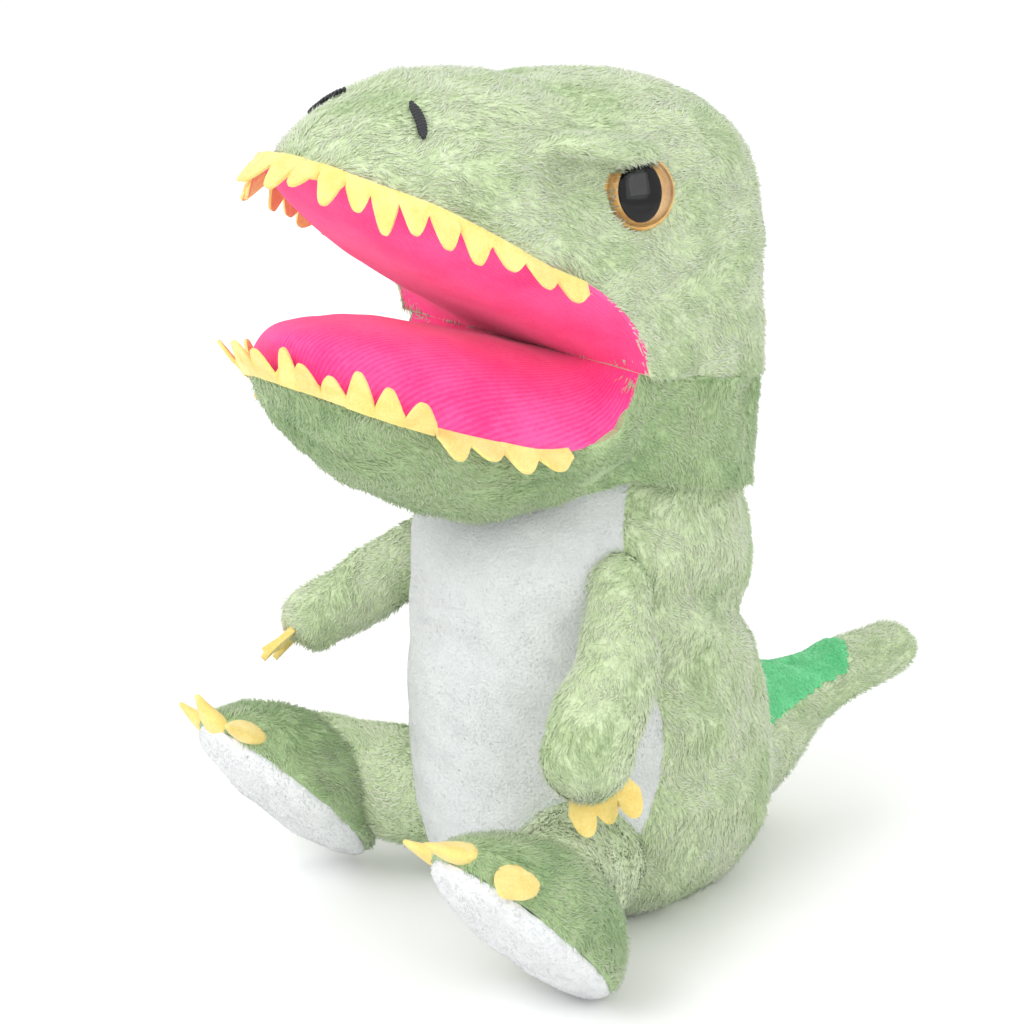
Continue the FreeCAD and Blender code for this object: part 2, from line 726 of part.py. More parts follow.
# -------------------------------------------------------------- legs and feet
foot_height = (size("foot_length") - size("sole_inset")) * math.sin(math.radians(
    size("foot_tilt"))) + size("sole") * math.cos(math.radians(size("foot_tilt")))
FOOT_LIFT = "(foot_length - sole_inset) * sin(foot_tilt) + sole * cos(foot_tilt)"


def in_foot(part, sign):
    """Local -Y points to the toes and local +Z out of the top of the foot."""
    return place(part, f"{sign} * foot_x", "foot_y", FOOT_LIFT, (1, 0, 0), "-foot_tilt")


def claw_leaf(sketch, half_width, length, rim_x, rim_y, turn):
    """One pointed felt claw that starts at the rim and points outwards."""
    out = Vector(math.sin(turn), -math.cos(turn), 0)
    side_way = Vector(math.cos(turn), math.sin(turn), 0)
    base = Vector(rim_x, rim_y, 0)
    outline = ((-1.0, 0.0), (-0.95, 0.35), (-0.6, 0.75), (0.0, 1.0), (0.6, 0.75),
               (0.95, 0.35), (1.0, 0.0))
    points = []
    for across, forward in outline:
        point = base + side_way * (across * half_width) + out * (forward * length)
        points.append((point.x, point.y))
    closed_outline(sketch, points)


for side, sign in SIDES:
    foot_outer = ellipsoid(f"{side}_foot_outer", "foot_width", "foot_length", "foot_height")
    foot_inner = ellipsoid(f"{side}_foot_inner", "foot_width - plush", "foot_length - plush",
                           "foot_height - plush")
    above_sole = block(f"{side}_above_sole", ("-reach", "100"), ("-reach", "100"), ("0", "100"))
    foot_dome = in_foot(common(f"{side}_foot_dome", foot_outer, above_sole), sign)
    foot_fill = in_foot(common(f"{side}_foot_fill", foot_inner, above_sole), sign)
    sole_block = block(f"{side}_sole_block", ("-reach", "100"), ("-reach", "100"), ("-reach", "0"))
    under_sole = doc.addObject("Part::Compound", f"{side}_under_sole")
    under_sole.Links = [sole_block]
    in_foot(under_sole, sign)

    hip = hip_point(sign)
    tilt = math.radians(size("foot_tilt"))
    rise = size("ankle_rise")
    ankle = Vector(sign * size("foot_x"), size("foot_y") + rise * math.sin(tilt),
                   foot_height + rise * math.cos(tilt))
    reach = ankle - hip
    radii = ("hip_ball", "thigh_radius")
    leg_solids = {}
    for part_name, trim in (("outer", "0"), ("fill", "plush")):
        ball = sphere(f"{side}_hip_{part_name}", f"hip_ball - {trim}")
        thigh = cone(f"{side}_thigh_{part_name}", f"thigh_radius - {trim}",
                     f"ankle_radius - {trim}", str(reach.Length))
        leg_solids[part_name] = along(fuse(f"{side}_leg_{part_name}", ball, thigh), hip, reach)
    leg_cover = cut(f"{side}_leg", leg_solids["outer"], leg_solids["fill"], foot_dome,
                    under_sole, sleeve_middle)
    node(leg_cover, f"{side}_leg")
    leg_fill = cut(f"{side}_leg_stuffing", leg_solids["fill"], foot_dome, under_sole,
                   sleeve_middle)
    node(leg_fill, f"{side}_leg_stuffing")
    node(cut(f"{side}_foot", foot_dome, foot_fill), f"{side}_foot")
    node(foot_fill, f"{side}_foot_stuffing")

    body, sketch = flat_body(f"{side}_sole", "sole", start="-sole")
    long_half = size("foot_length") - size("sole_inset")
    short_half = size("foot_width") - size("sole_inset")
    outline = Part.Ellipse(Vector(0, long_half, 0), Vector(short_half, 0, 0), Vector(0, 0, 0))
    sketch.addGeometry(outline, False)
    node(in_foot(body, sign), f"{side}_sole")

    body, sketch = flat_body(f"{side}_toe_claws", "felt")
    for step in (-1, 0, 1):
        turn = math.radians(step * size("toe_spread"))
        rim = (size("foot_width") * math.sin(turn), -size("foot_length") * math.cos(turn))
        lean = math.atan2(rim[0] / size("foot_width") ** 2, -rim[1] / size("foot_length") ** 2)
        half = size("toe_claw_width") / 2
        # the root stands clear of the curved rim at both its ends
        stand = size("rest_gap") + 0.2
        claw_leaf(sketch, half, size("toe_claw"), rim[0] + stand * math.sin(lean),
                  rim[1] - stand * math.cos(lean), lean)
    node(in_foot(body, sign), f"{side}_toe_claws")

# ------------------------------------------------------------------------ tail
TAIL_RADII = ("tail_root", "tail_middle", "tail_tip")
TAIL_LENGTHS = ("tail_first", "tail_second")


def tail_solid(name, trim):
    ball = sphere(f"{name}_ball", f"tail_ball - {trim}")
    taper = limb(f"{name}_taper", TAIL_RADII, TAIL_LENGTHS, trim)
    whole = fuse(name, ball, taper)
    return place(whole, y="tail_y", z="tail_z", axis=(1, 0, 0), angle="tail_lift - 90")


tail_outer = tail_solid("tail_outer", "0")
tail_fill = tail_solid("tail_fill", "plush")
tail_shell = cut("tail_shell", tail_outer, tail_fill, sleeve_middle)
stripe_box = feature("Part::Box", "stripe_box", Length="100", Width="100",
                     Height="stripe_end - stripe_start")
place(stripe_box, "-50", "-104", "stripe_start")
stripe_space = doc.addObject("Part::Compound", "stripe_space")
stripe_space.Links = [stripe_box]
place(stripe_space, y="tail_y", z="tail_z", axis=(1, 0, 0), angle="tail_lift - 90")
node(cut("tail_cover", tail_shell, stripe_space), "tail_cover")
node(common("tail_stripe", tail_shell, stripe_space), "tail_stripe")
node(cut("tail_stuffing", tail_fill, sleeve_middle), "tail_stuffing")

# ---------------------------------------------------------------- check and write
doc.recompute()
faults = []
for item in doc.Objects:
    if "Invalid" in item.State or "Error" in item.State:
        faults.append(f"{item.Name}: {item.State}")
for part in nodes:
    if part.Shape.isNull() or not part.Shape.isValid() or part.Shape.Volume <= 0:
        faults.append(f"{part.Label}: bad shape")
if faults:
    raise RuntimeError("\n".join(faults))

os.makedirs("parts", exist_ok=True)
for part in nodes:
    part.Shape.exportStep(os.path.join("parts", f"{part.Label}.step"))
    count = len(part.Shape.Solids)
    print(f"{part.Label}: {count} solid(s), {part.Shape.Volume / 1000:.2f} cm3")
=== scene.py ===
import json
import math

import bpy
import numpy as np
from mathutils import Matrix, Vector


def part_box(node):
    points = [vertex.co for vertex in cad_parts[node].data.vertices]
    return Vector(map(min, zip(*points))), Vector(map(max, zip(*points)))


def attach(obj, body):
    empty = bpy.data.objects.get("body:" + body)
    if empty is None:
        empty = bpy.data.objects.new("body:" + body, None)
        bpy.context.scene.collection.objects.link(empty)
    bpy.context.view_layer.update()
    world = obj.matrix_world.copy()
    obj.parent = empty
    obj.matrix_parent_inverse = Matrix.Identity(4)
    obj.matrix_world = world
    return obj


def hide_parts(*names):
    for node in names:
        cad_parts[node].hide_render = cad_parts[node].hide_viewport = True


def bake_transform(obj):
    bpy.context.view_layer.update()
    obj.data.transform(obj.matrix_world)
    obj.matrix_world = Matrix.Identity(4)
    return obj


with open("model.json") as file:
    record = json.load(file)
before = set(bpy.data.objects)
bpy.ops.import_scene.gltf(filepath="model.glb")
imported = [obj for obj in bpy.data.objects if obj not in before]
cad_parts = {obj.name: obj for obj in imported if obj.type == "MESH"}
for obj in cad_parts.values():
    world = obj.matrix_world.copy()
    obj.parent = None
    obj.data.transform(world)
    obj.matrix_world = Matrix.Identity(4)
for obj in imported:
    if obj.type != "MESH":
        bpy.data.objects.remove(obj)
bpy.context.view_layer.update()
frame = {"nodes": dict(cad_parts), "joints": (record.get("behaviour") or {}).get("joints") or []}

# A seated hand puppet: a stuffed head with a mouth that opens, on a sleeve with stuffed limbs.
# Places below are in millimetres in the puppet's own frame: +Z up, -Y ahead, +X its left.
MM = 0.001
SIDES = (("left", 1), ("right", -1))
JOINTS = {joint["name"]: joint for joint in frame["joints"]}


def mm(*numbers):
    """Millimetres as a place or direction in the scene's metres."""
    return Vector([number * MM for number in numbers])


def pivot(joint):
    return Vector(JOINTS[joint]["pos_m"])


HINGE = pivot("jaw_open")         # crease of the mouth
NECK = pivot("head_nod")
UPPER_TILT = 37.5                 # degrees that the upper mouth plate rises ahead
LOWER_TILT = 9.0
NAPE_SLOPE = 11.0                 # fall of the seam behind the crease
SNOUT = mm(60, 114.5, 71)           # half width, length, height on the upper plate
JAW = mm(55.5, 101.5, 58)
# lip lines at the side of the mouth: millimetres ahead of the crease, and above the plate
UPPER_LIP = ((0, 0), (3, 7), (8, 11), (18, 13), (38, 9), (55, 7), (70, 5), (82, 2), (99, 0))
LOWER_LIP = ((0, 0), (3, -7), (7, -14), (14, -20), (26, -24), (38, -25), (52, -23), (80, -17),
             (103, -9), (119, -3), (130, 0))
# sleeve: height, half width, half depth, middle in y
SLEEVE = ((0, 37, 45, 4), (4, 42, 50, 3), (10, 48, 55.5, 2), (20, 53, 60, 2), (32, 56, 62.5, 1),
          (60, 57, 62.5, -1), (92, 54.5, 59, -4), (116, 54.5, 58, -5), (128, 54.5, 56.5, -4.5),
          (138, 52, 53, -3), (148, 48.5, 48.5, 0), (158, 46.5, 46.5, 3), (168, 46, 46, 3))
# the belly's seam: height, degrees from the front
BELLY_SEAM = ((0, 41), (14, 46), (34, 62), (60, 73), (85, 74), (112, 67), (140, 61), (168, 60))
BACK_STRIPE_ANGLE = 14.0
BALL = 50.0                       # top of the sleeve, a ball about the neck pivot

# ------------------------------------------------------------------ modelling helpers


def deselect():
    bpy.ops.object.select_all(action="DESELECT")


def pick(piece):
    """Makes a piece the only selected and active one."""
    deselect()
    piece.select_set(True)
    bpy.context.view_layer.objects.active = piece
    return piece


def named(name):
    piece = bpy.context.active_object
    piece.name = name
    piece.data.name = name
    return piece


def settle(piece):
    """Puts a piece's place, turn and size into its mesh."""
    pick(piece)
    bpy.ops.object.transform_apply(location=True, rotation=True, scale=True)
    return piece


def use(piece, kind, **settings):
    """Adds a modifier and applies it."""
    pick(piece)
    modifier = piece.modifiers.new(kind.lower(), kind)
    for key, value in settings.items():
        setattr(modifier, key, value)
    bpy.ops.object.modifier_apply(modifier=modifier.name)
    return piece


def ball(name, centre, radii, tilt=0.0, segments=48):
    """An egg of three half-widths, its front tipped up by tilt degrees."""
    deselect()
    bpy.ops.mesh.primitive_uv_sphere_add(segments=segments, ring_count=segments // 2, radius=1,
                                         location=centre)
    piece = named(name)
    piece.scale = radii
    piece.rotation_euler[0] = -math.radians(tilt)
    return settle(piece)


def cutter(first, name, second, mode="DIFFERENCE"):
    """Cuts, joins or intersects a piece with a second one, which is used up."""
    use(first, "BOOLEAN", operation=mode, object=second, solver="EXACT")
    bpy.data.objects.remove(second)
    first.name = name
    return first


def trim(piece, point, normal):
    """Takes off what lies past a plane, on the side of its normal, and closes the cut."""
    pick(piece)
    bpy.ops.object.mode_set(mode="EDIT")
    bpy.ops.mesh.select_all(action="SELECT")
    bpy.ops.mesh.bisect(plane_co=point, plane_no=normal, use_fill=True, clear_outer=True)
    bpy.ops.object.mode_set(mode="OBJECT")
    return piece


def melt(name, pieces, voxel, rounds=8):
    """Melts overlapping solids into one soft skin."""
    deselect()
    for piece in pieces:
        piece.select_set(True)
    bpy.context.view_layer.objects.active = pieces[0]
    if len(pieces) > 1:
        bpy.ops.object.join()
    whole = named(name)
    use(whole, "REMESH", mode="VOXEL", voxel_size=voxel * MM)
    use(whole, "SMOOTH", factor=0.5, iterations=rounds)
    return whole


def soft(piece, angle=50.0):
    pick(piece)
    bpy.ops.object.shade_smooth_by_angle(angle=math.radians(angle))
    return piece


def points_of(piece):
    co = np.empty(len(piece.data.vertices) * 3)
    piece.data.vertices.foreach_get("co", co)
    return co.reshape(-1, 3)


def normals_of(piece):
    normal = np.empty(len(piece.data.vertices) * 3, np.float32)
    piece.data.vertex_normals.foreach_get("vector", normal)
    return normal.reshape(-1, 3).astype(float)


def put_points(piece, co):
    piece.data.vertices.foreach_set("co", np.ascontiguousarray(co, np.float32).ravel())
    piece.data.update()
    return piece


def grain(points, span, seed, octaves=3):
    """Smooth noise, about -1 to 1, whose largest swells are span millimetres across."""
    draw = np.random.default_rng(seed)
    total = np.zeros(len(points))
    weight = 1.0
    reach = 0.0
    for octave in range(octaves):
        waves = draw.normal(size=(7, 3))
        waves *= (2 * math.pi / (span * MM) * 1.9 ** octave
                  / np.linalg.norm(waves, axis=1))[:, None]
        phases = draw.uniform(0, 2 * math.pi, 7)
        total += weight * np.sin(points @ waves.T + phases).sum(axis=1) / 3.2
        reach += weight
        weight *= 0.55
    return total / reach


def smooth_curve(x, knots):
    """A curve through (x, value...) knots, eased like a bent batten."""
    table = np.array(knots, float)
    places = table[:, 0]
    values = table[:, 1:]
    slopes = np.gradient(values, places, axis=0)
    x = np.clip(np.asarray(x, float), places[0], places[-1])
    index = np.clip(np.searchsorted(places, x, side="right") - 1, 0, len(places) - 2)
    step = (places[index + 1] - places[index])[:, None]
    share = ((x - places[index]) / step[:, 0])[:, None]
    early, late = values[index], values[index + 1]
    rise, fall = slopes[index] * step, slopes[index + 1] * step
    return ((2 * share ** 3 - 3 * share ** 2 + 1) * early + (share ** 3 - 2 * share ** 2 + share)
            * rise + (3 * share ** 2 - 2 * share ** 3) * late + (share ** 3 - share ** 2) * fall)


def distance_to_line(points, line):
    """Each point's distance to a broken line given in millimetres."""
    line = np.array(line, float) * MM
    best = np.full(len(points), np.inf)
    for start, end in zip(line[:-1], line[1:]):
        along = end - start
        share = np.clip((points - start) @ along / (along @ along), 0, 1)
        gap = np.linalg.norm(points - start - share[:, None] * along, axis=1)
        best = np.minimum(best, gap)
    return best


def press(piece, strokes, both_sides=True):
    """Presses creases (height below 0) and raises folds along lines: (line, radius, height)."""
    co = points_of(piece)
    push = np.zeros(len(co))
    for line, radius, height in strokes:
        for sign in (1, -1) if both_sides else (1,):
            mirrored = [(sign * x, y, z) for x, y, z in line]
            gap = distance_to_line(co, mirrored)
            push += height * MM * np.exp(-(gap / (radius * MM)) ** 2)
    return put_points(piece, co + normals_of(piece) * push[:, None])


def rumple(piece, span, height, seed):
    """Uneven stuffing: gentle swells all over a skin."""
    co = points_of(piece)
    swell = grain(co, span, seed) * height * MM
    return put_points(piece, co + normals_of(piece) * swell[:, None])


def tube(name, levels, segments=64):
    """Stacked ovals, drawn up ring by ring from a circle: (z, half x, half y, middle y)."""
    deselect()
    low = levels[0]
    bpy.ops.mesh.primitive_circle_add(vertices=segments, radius=MM, fill_type="NGON",
                                      location=mm(0, low[3], low[0]))
    piece = named(name)
    piece.scale = (low[1], low[2], 1)
    settle(piece)
    bpy.ops.object.mode_set(mode="EDIT")
    bpy.ops.mesh.select_all(action="SELECT")
    for under, over in zip(levels[:-1], levels[1:]):
        move = mm(0, over[3] - under[3], over[0] - under[0])
        bpy.ops.mesh.extrude_region_move(TRANSFORM_OT_translate={"value": move})
        bpy.ops.transform.resize(value=(over[1] / under[1], over[2] / under[2], 1),
                                 center_override=mm(0, over[3], over[0]))
    bpy.ops.mesh.select_all(action="SELECT")
    bpy.ops.mesh.normals_make_consistent(inside=False)
    bpy.ops.object.mode_set(mode="OBJECT")
    return piece


def slab(name, outline, half_width):
    """A side outline in (y, z), drawn right across the puppet."""
    mesh = bpy.data.meshes.new(name)
    corners = [mm(-half_width, y, z) for y, z in outline]
    mesh.from_pydata(corners, [], [range(len(corners))])
    piece = bpy.data.objects.new(name, mesh)
    bpy.context.scene.collection.objects.link(piece)
    pick(piece)
    bpy.ops.object.mode_set(mode="EDIT")
    bpy.ops.mesh.select_all(action="SELECT")
    bpy.ops.mesh.extrude_region_move(TRANSFORM_OT_translate={"value": mm(2 * half_width, 0, 0)})
    bpy.ops.mesh.select_all(action="SELECT")
    bpy.ops.mesh.normals_make_consistent(inside=False)
    bpy.ops.object.mode_set(mode="OBJECT")
    return piece


def sheet_grid(name, columns, rows, place):
    """A flat grid laid over place(u, v) -> points in metres, with u and v from 0 to 1."""
    deselect()
    bpy.ops.mesh.primitive_grid_add(x_subdivisions=columns, y_subdivisions=rows, size=1)
    piece = named(name)
    flat = points_of(piece)
    return put_points(piece, place(flat[:, 0] + 0.5, flat[:, 1] + 0.5))


def close_seams(piece, gap=0.05):
    """Merges doubled points and turns every face outwards."""
    pick(piece)
    bpy.ops.object.mode_set(mode="EDIT")
    bpy.ops.mesh.select_all(action="SELECT")
    bpy.ops.mesh.remove_doubles(threshold=gap * MM)
    bpy.ops.mesh.normals_make_consistent(inside=False)
    bpy.ops.object.mode_set(mode="OBJECT")
    return piece


def row_of_balls(name, path, radii, voxel=2.0, rounds=10):
    """A stuffed limb: balls along a path, melted into one skin."""
    knots = [(index, *point, radius) for index, (point, radius) in enumerate(zip(path, radii))]
    steps = np.linspace(0, len(path) - 1, 5 * (len(path) - 1) + 1)
    line = smooth_curve(steps, knots)
    balls = [ball(f"{name}_{index}", mm(*row[:3]), mm(row[3], row[3], row[3]), segments=24)
             for index, row in enumerate(line)]
    return melt(name, balls, voxel, rounds)

# ------------------------------------------------------------------ material helpers


class Wire:
    """A number that runs through a material: Python's operators add Math nodes to it."""

    def __init__(self, finish, socket):
        self.finish = finish
        self.socket = socket

    def __add__(self, other):
        return self.finish.maths("ADD", self, other)

    __radd__ = __add__

    def __mul__(self, other):
        return self.finish.maths("MULTIPLY", self, other)

    __rmul__ = __mul__

    def __sub__(self, other):
        return self.finish.maths("SUBTRACT", self, other)

    def __rsub__(self, other):
        return self.finish.maths("SUBTRACT", other, self)


class Finish:
    """A procedural material under construction."""

    def __init__(self, name):
        self.material = bpy.data.materials.new(name)
        self.material.use_nodes = True
        self.tree = self.material.node_tree
        self.tree.nodes.clear()
        self.place = self.node("ShaderNodeTexCoord").outputs["Object"]

    def node(self, kind, settings=None, **inputs):
        """Adds a node: its settings first, then each input's value or link."""
        made = self.tree.nodes.new(kind)
        for key, value in (settings or {}).items():
            setattr(made, key, value)
        for key, value in inputs.items():
            socket = made.inputs[int(key[1:])] if key[1:].isdigit() else made.inputs[
                key.replace("_", " ")]
            if isinstance(value, Wire):
                value = value.socket
            if isinstance(value, bpy.types.NodeSocket):
                self.tree.links.new(value, socket)
            else:
                socket.default_value = value
        return made

    def maths(self, operation, first, second):
        made = self.node("ShaderNodeMath", {"operation": operation}, i0=first, i1=second)
        return Wire(self, made.outputs[0])

    def noise(self, size, detail=3.0, roughness=0.55, stretch=None):
        """Noise whose spots are size millimetres across, about 0 to 1."""
        where = self.place
        if stretch is not None:
            where = self.node("ShaderNodeMapping", None, Vector=where, Scale=stretch).outputs[0]
        made = self.node("ShaderNodeTexNoise", None, Vector=where, Scale=1 / (size * MM),
                         Detail=detail, Roughness=roughness)
        return Wire(self, made.outputs["Fac"])

    def waves(self, size, direction, distortion=0.0):
        made = self.node("ShaderNodeTexWave", {"bands_direction": direction}, Vector=self.place,
                         Scale=0.05 / (size * MM) * 6.2832, Distortion=distortion)
        return Wire(self, made.outputs["Fac"])

    def own(self, attribute):
        made = self.node("ShaderNodeAttribute", {"attribute_name": attribute})
        return Wire(self, made.outputs["Fac"])

    def between(self, share, low, high, out_low=0.0, out_high=1.0):
        made = self.node("ShaderNodeMapRange", {"interpolation_type": "SMOOTHSTEP"}, Value=share,
                         From_Min=low, From_Max=high, To_Min=out_low, To_Max=out_high)
        return Wire(self, made.outputs[0])

    def mix(self, share, first, second):
        """One colour turning into another."""
        made = self.node("ShaderNodeMix", {"data_type": "RGBA"}, i0=share, i6=first, i7=second)
        return made.outputs[2]

    def bump(self, height, depth, strength=1.0):
        made = self.node("ShaderNodeBump", None, Height=height, Distance=depth * MM,
                         Strength=strength)
        return made.outputs[0]

    def surface(self, **inputs):
        made = self.node("ShaderNodeBsdfPrincipled", None, **inputs)
        return self.finish(made.outputs[0])

    def finish(self, shader):
        self.node("ShaderNodeOutputMaterial", None, Surface=shader)
        return self.material


def shade(red, green, blue):
    """A colour given 0 to 255, as the linear one that shaders take."""
    linear = [(part / 255 / 12.92) if part < 11 else ((part / 255 + 0.055) / 1.055) ** 2.4
              for part in (red, green, blue)]
    return (*linear, 1.0)


def pile_finish(name, root, tip, patch, sheen=0.25):
    """Plush pile: painted shade at the roots fading out to pale tips, and uneven patches of a
    deeper dye.
    """
    finish = Finish(name)
    root_shade_fade = finish.between(finish.own("tip"), 0.0, 0.9)
    patch_share = finish.between(finish.own("patch"), -0.35, 0.75)
    pale = finish.mix(patch_share, shade(*tip), shade(*patch))
    # the root colour is painted shade at the base of each tuft, fading out towards the tip
    colour = finish.mix(root_shade_fade, shade(*root), pale)
    return finish.surface(Base_Color=colour, Roughness=0.78, Sheen_Weight=sheen,
                          Sheen_Roughness=0.5, Specular_IOR_Level=0.2)


def backing_finish(name, root, tip):
    """The knitted backing that the pile stands on."""
    finish = Finish(name)
    mottle = finish.noise(9, 4)
    fuzz = finish.noise(0.9, 3)
    colour = finish.mix(finish.between(0.5 * mottle + 0.5 * fuzz, 0.35, 0.65), shade(*root),
                        shade(*tip))
    return finish.surface(Base_Color=colour, Roughness=0.9, Sheen_Weight=0.2,
                          Normal=finish.bump(fuzz, 0.6))


def knit_finish(name, low, high):
    """Fine brushed knit: rows of loops with a soft fuzz."""
    finish = Finish(name)
    rows = finish.waves(1.1, "X", 0.6)
    loops = finish.noise(0.7, 2, stretch=(1.0, 0.35, 0.35))
    cloud = finish.noise(26, 3)
    colour = finish.mix(finish.between(0.6 * cloud + 0.12 * rows + 0.28 * loops, 0.3, 0.7),
                        shade(*low), shade(*high))
    relief = 0.25 * rows + 0.6 * loops
    return finish.surface(Base_Color=colour, Roughness=0.85, Sheen_Weight=0.35,
                          Sheen_Tint=shade(255, 190, 215), Specular_IOR_Level=0.25,
                          Normal=finish.bump(relief, 0.35))


def felt_finish(name, low, high):
    """Pressed felt: short matted fibres and a clean-cut edge."""
    finish = Finish(name)
    fibres = finish.noise(0.8, 5, 0.7)
    cloud = finish.noise(7, 3)
    colour = finish.mix(finish.between(0.5 * cloud + 0.5 * fibres, 0.32, 0.68), shade(*low),
                        shade(*high))
    return finish.surface(Base_Color=colour, Roughness=0.9, Sheen_Weight=0.3,
                          Specular_IOR_Level=0.2, Normal=finish.bump(fibres, 0.4))


def thread_finish(name, low, high):
    """Satin-stitch thread, a little glossy along its twist."""
    finish = Finish(name)
    twist = finish.noise(0.35, 2)
    colour = finish.mix(finish.between(twist, 0.3, 0.7), shade(*low), shade(*high))
    return finish.surface(Base_Color=colour, Roughness=0.45, Sheen_Weight=0.1,
                          Normal=finish.bump(twist, 0.12))


def moulded_finish(name, low, high, roughness, coat=0.0, gloss=0.5):
    """Moulded plastic with a faint flow in its dye."""
    finish = Finish(name)
    flow = finish.noise(5, 4)
    worn = finish.between(finish.noise(2.5, 2), 0.3, 0.8, roughness, roughness * 1.3)
    colour = finish.mix(finish.between(flow, 0.3, 0.7), shade(*low), shade(*high))
    return finish.surface(Base_Color=colour, Roughness=worn, Coat_Weight=coat,
                          Coat_Roughness=0.04, Specular_IOR_Level=gloss)


def clear_finish(name):
    """A clear shell: see-through, with the gloss of polished plastic at its rim."""
    finish = Finish(name)
    gloss = finish.node("ShaderNodeBsdfGlossy", None, Color=(1, 1, 1, 1), Roughness=0.03)
    through = finish.node("ShaderNodeBsdfTransparent", None, Color=(1, 1, 1, 1))
    rim = finish.node("ShaderNodeFresnel", None, IOR=1.48)
    share = finish.between(Wire(finish, rim.outputs[0]), 0.03, 1.0, 0.015, 0.8)
    mixed = finish.node("ShaderNodeMixShader", None, i0=share, i1=through.outputs[0],
                        i2=gloss.outputs[0])
    return finish.finish(mixed.outputs[0])


# pile colours: the first is painted shade at the tuft roots, then the tip colour and the patch
# colour
LIGHT_PILE = pile_finish("light_pile", (184, 202, 156), (236, 243, 220), (190, 215, 164))
DARK_PILE = pile_finish("dark_pile", (140, 168, 116), (206, 222, 180), (156, 188, 134))
WHITE_PILE = pile_finish("white_pile", (220, 222, 223), (234, 236, 236), (228, 230, 231), 0.12)
BELLY_PILE = pile_finish("belly_pile", (196, 199, 200), (216, 218, 219), (209, 212, 213), 0.12)
BRIGHT_PILE = pile_finish("bright_pile", (66, 168, 104), (120, 222, 156), (92, 200, 130), 0.15)
LIGHT_BACKING = backing_finish("light_backing", (178, 198, 150), (210, 224, 186))
DARK_BACKING = backing_finish("dark_backing", (138, 166, 114), (172, 194, 146))
WHITE_BACKING = backing_finish("white_backing", (222, 225, 226), (232, 234, 234))
BELLY_BACKING = backing_finish("belly_backing", (204, 207, 208), (215, 218, 218))
BRIGHT_BACKING = backing_finish("bright_backing", (78, 186, 118), (112, 216, 148))
MOUTH_KNIT = knit_finish("mouth_knit", (236, 52, 128), (255, 92, 162))
YELLOW_FELT = felt_finish("yellow_felt", (238, 206, 112), (252, 230, 148))
LINING_CLOTH = felt_finish("lining_cloth", (206, 210, 204), (228, 230, 226))
AMBER = moulded_finish("eye_amber", (206, 146, 58), (232, 182, 96), 0.25, 0.6)
BLACK = moulded_finish("eye_black", (5, 6, 8), (11, 11, 15), 0.06, 0.0, 0.2)
CLEAR = clear_finish("eye_clear")
THREAD = thread_finish("black_thread", (14, 16, 20), (34, 38, 44))
WASHER = moulded_finish("eye_washer", (226, 226, 220), (240, 240, 236), 0.4)


def dress(piece, material):
    """Gives a piece its only material and the slot that it belongs to."""
    piece.data.materials.clear()
    piece.data.materials.append(material)
    return piece


# ------------------------------------------------------------------ pile of the plush


def scatter(skin, spacing, seed):
    """Random places on a skin, about spacing millimetres apart, with their normals."""
    mesh = skin.data
    mesh.calc_loop_triangles()
    corners = np.empty(len(mesh.loop_triangles) * 3, np.int32)
    mesh.loop_triangles.foreach_get("vertices", corners)
    corners = corners.reshape(-1, 3)
    co = points_of(skin)
    normal = normals_of(skin)
    a, b, c = (co[corners[:, k]] for k in range(3))
    area = np.linalg.norm(np.cross(b - a, c - a), axis=1) / 2
    draw = np.random.default_rng(seed)
    count = int(area.sum() / (spacing * MM) ** 2)
    chosen = np.searchsorted(np.cumsum(area) / area.sum(), draw.uniform(size=count))
    chosen = np.minimum(chosen, len(area) - 1)
    one, two = np.sqrt(draw.uniform(size=count)), draw.uniform(size=count)
    shares = np.stack([1 - one, one * (1 - two), one * two], axis=1)
    spots = (co[corners[chosen]] * shares[:, :, None]).sum(axis=1)
    facing = (normal[corners[chosen]] * shares[:, :, None]).sum(axis=1)
    facing /= np.linalg.norm(facing, axis=1)[:, None] + 1e-12
    return spots, facing


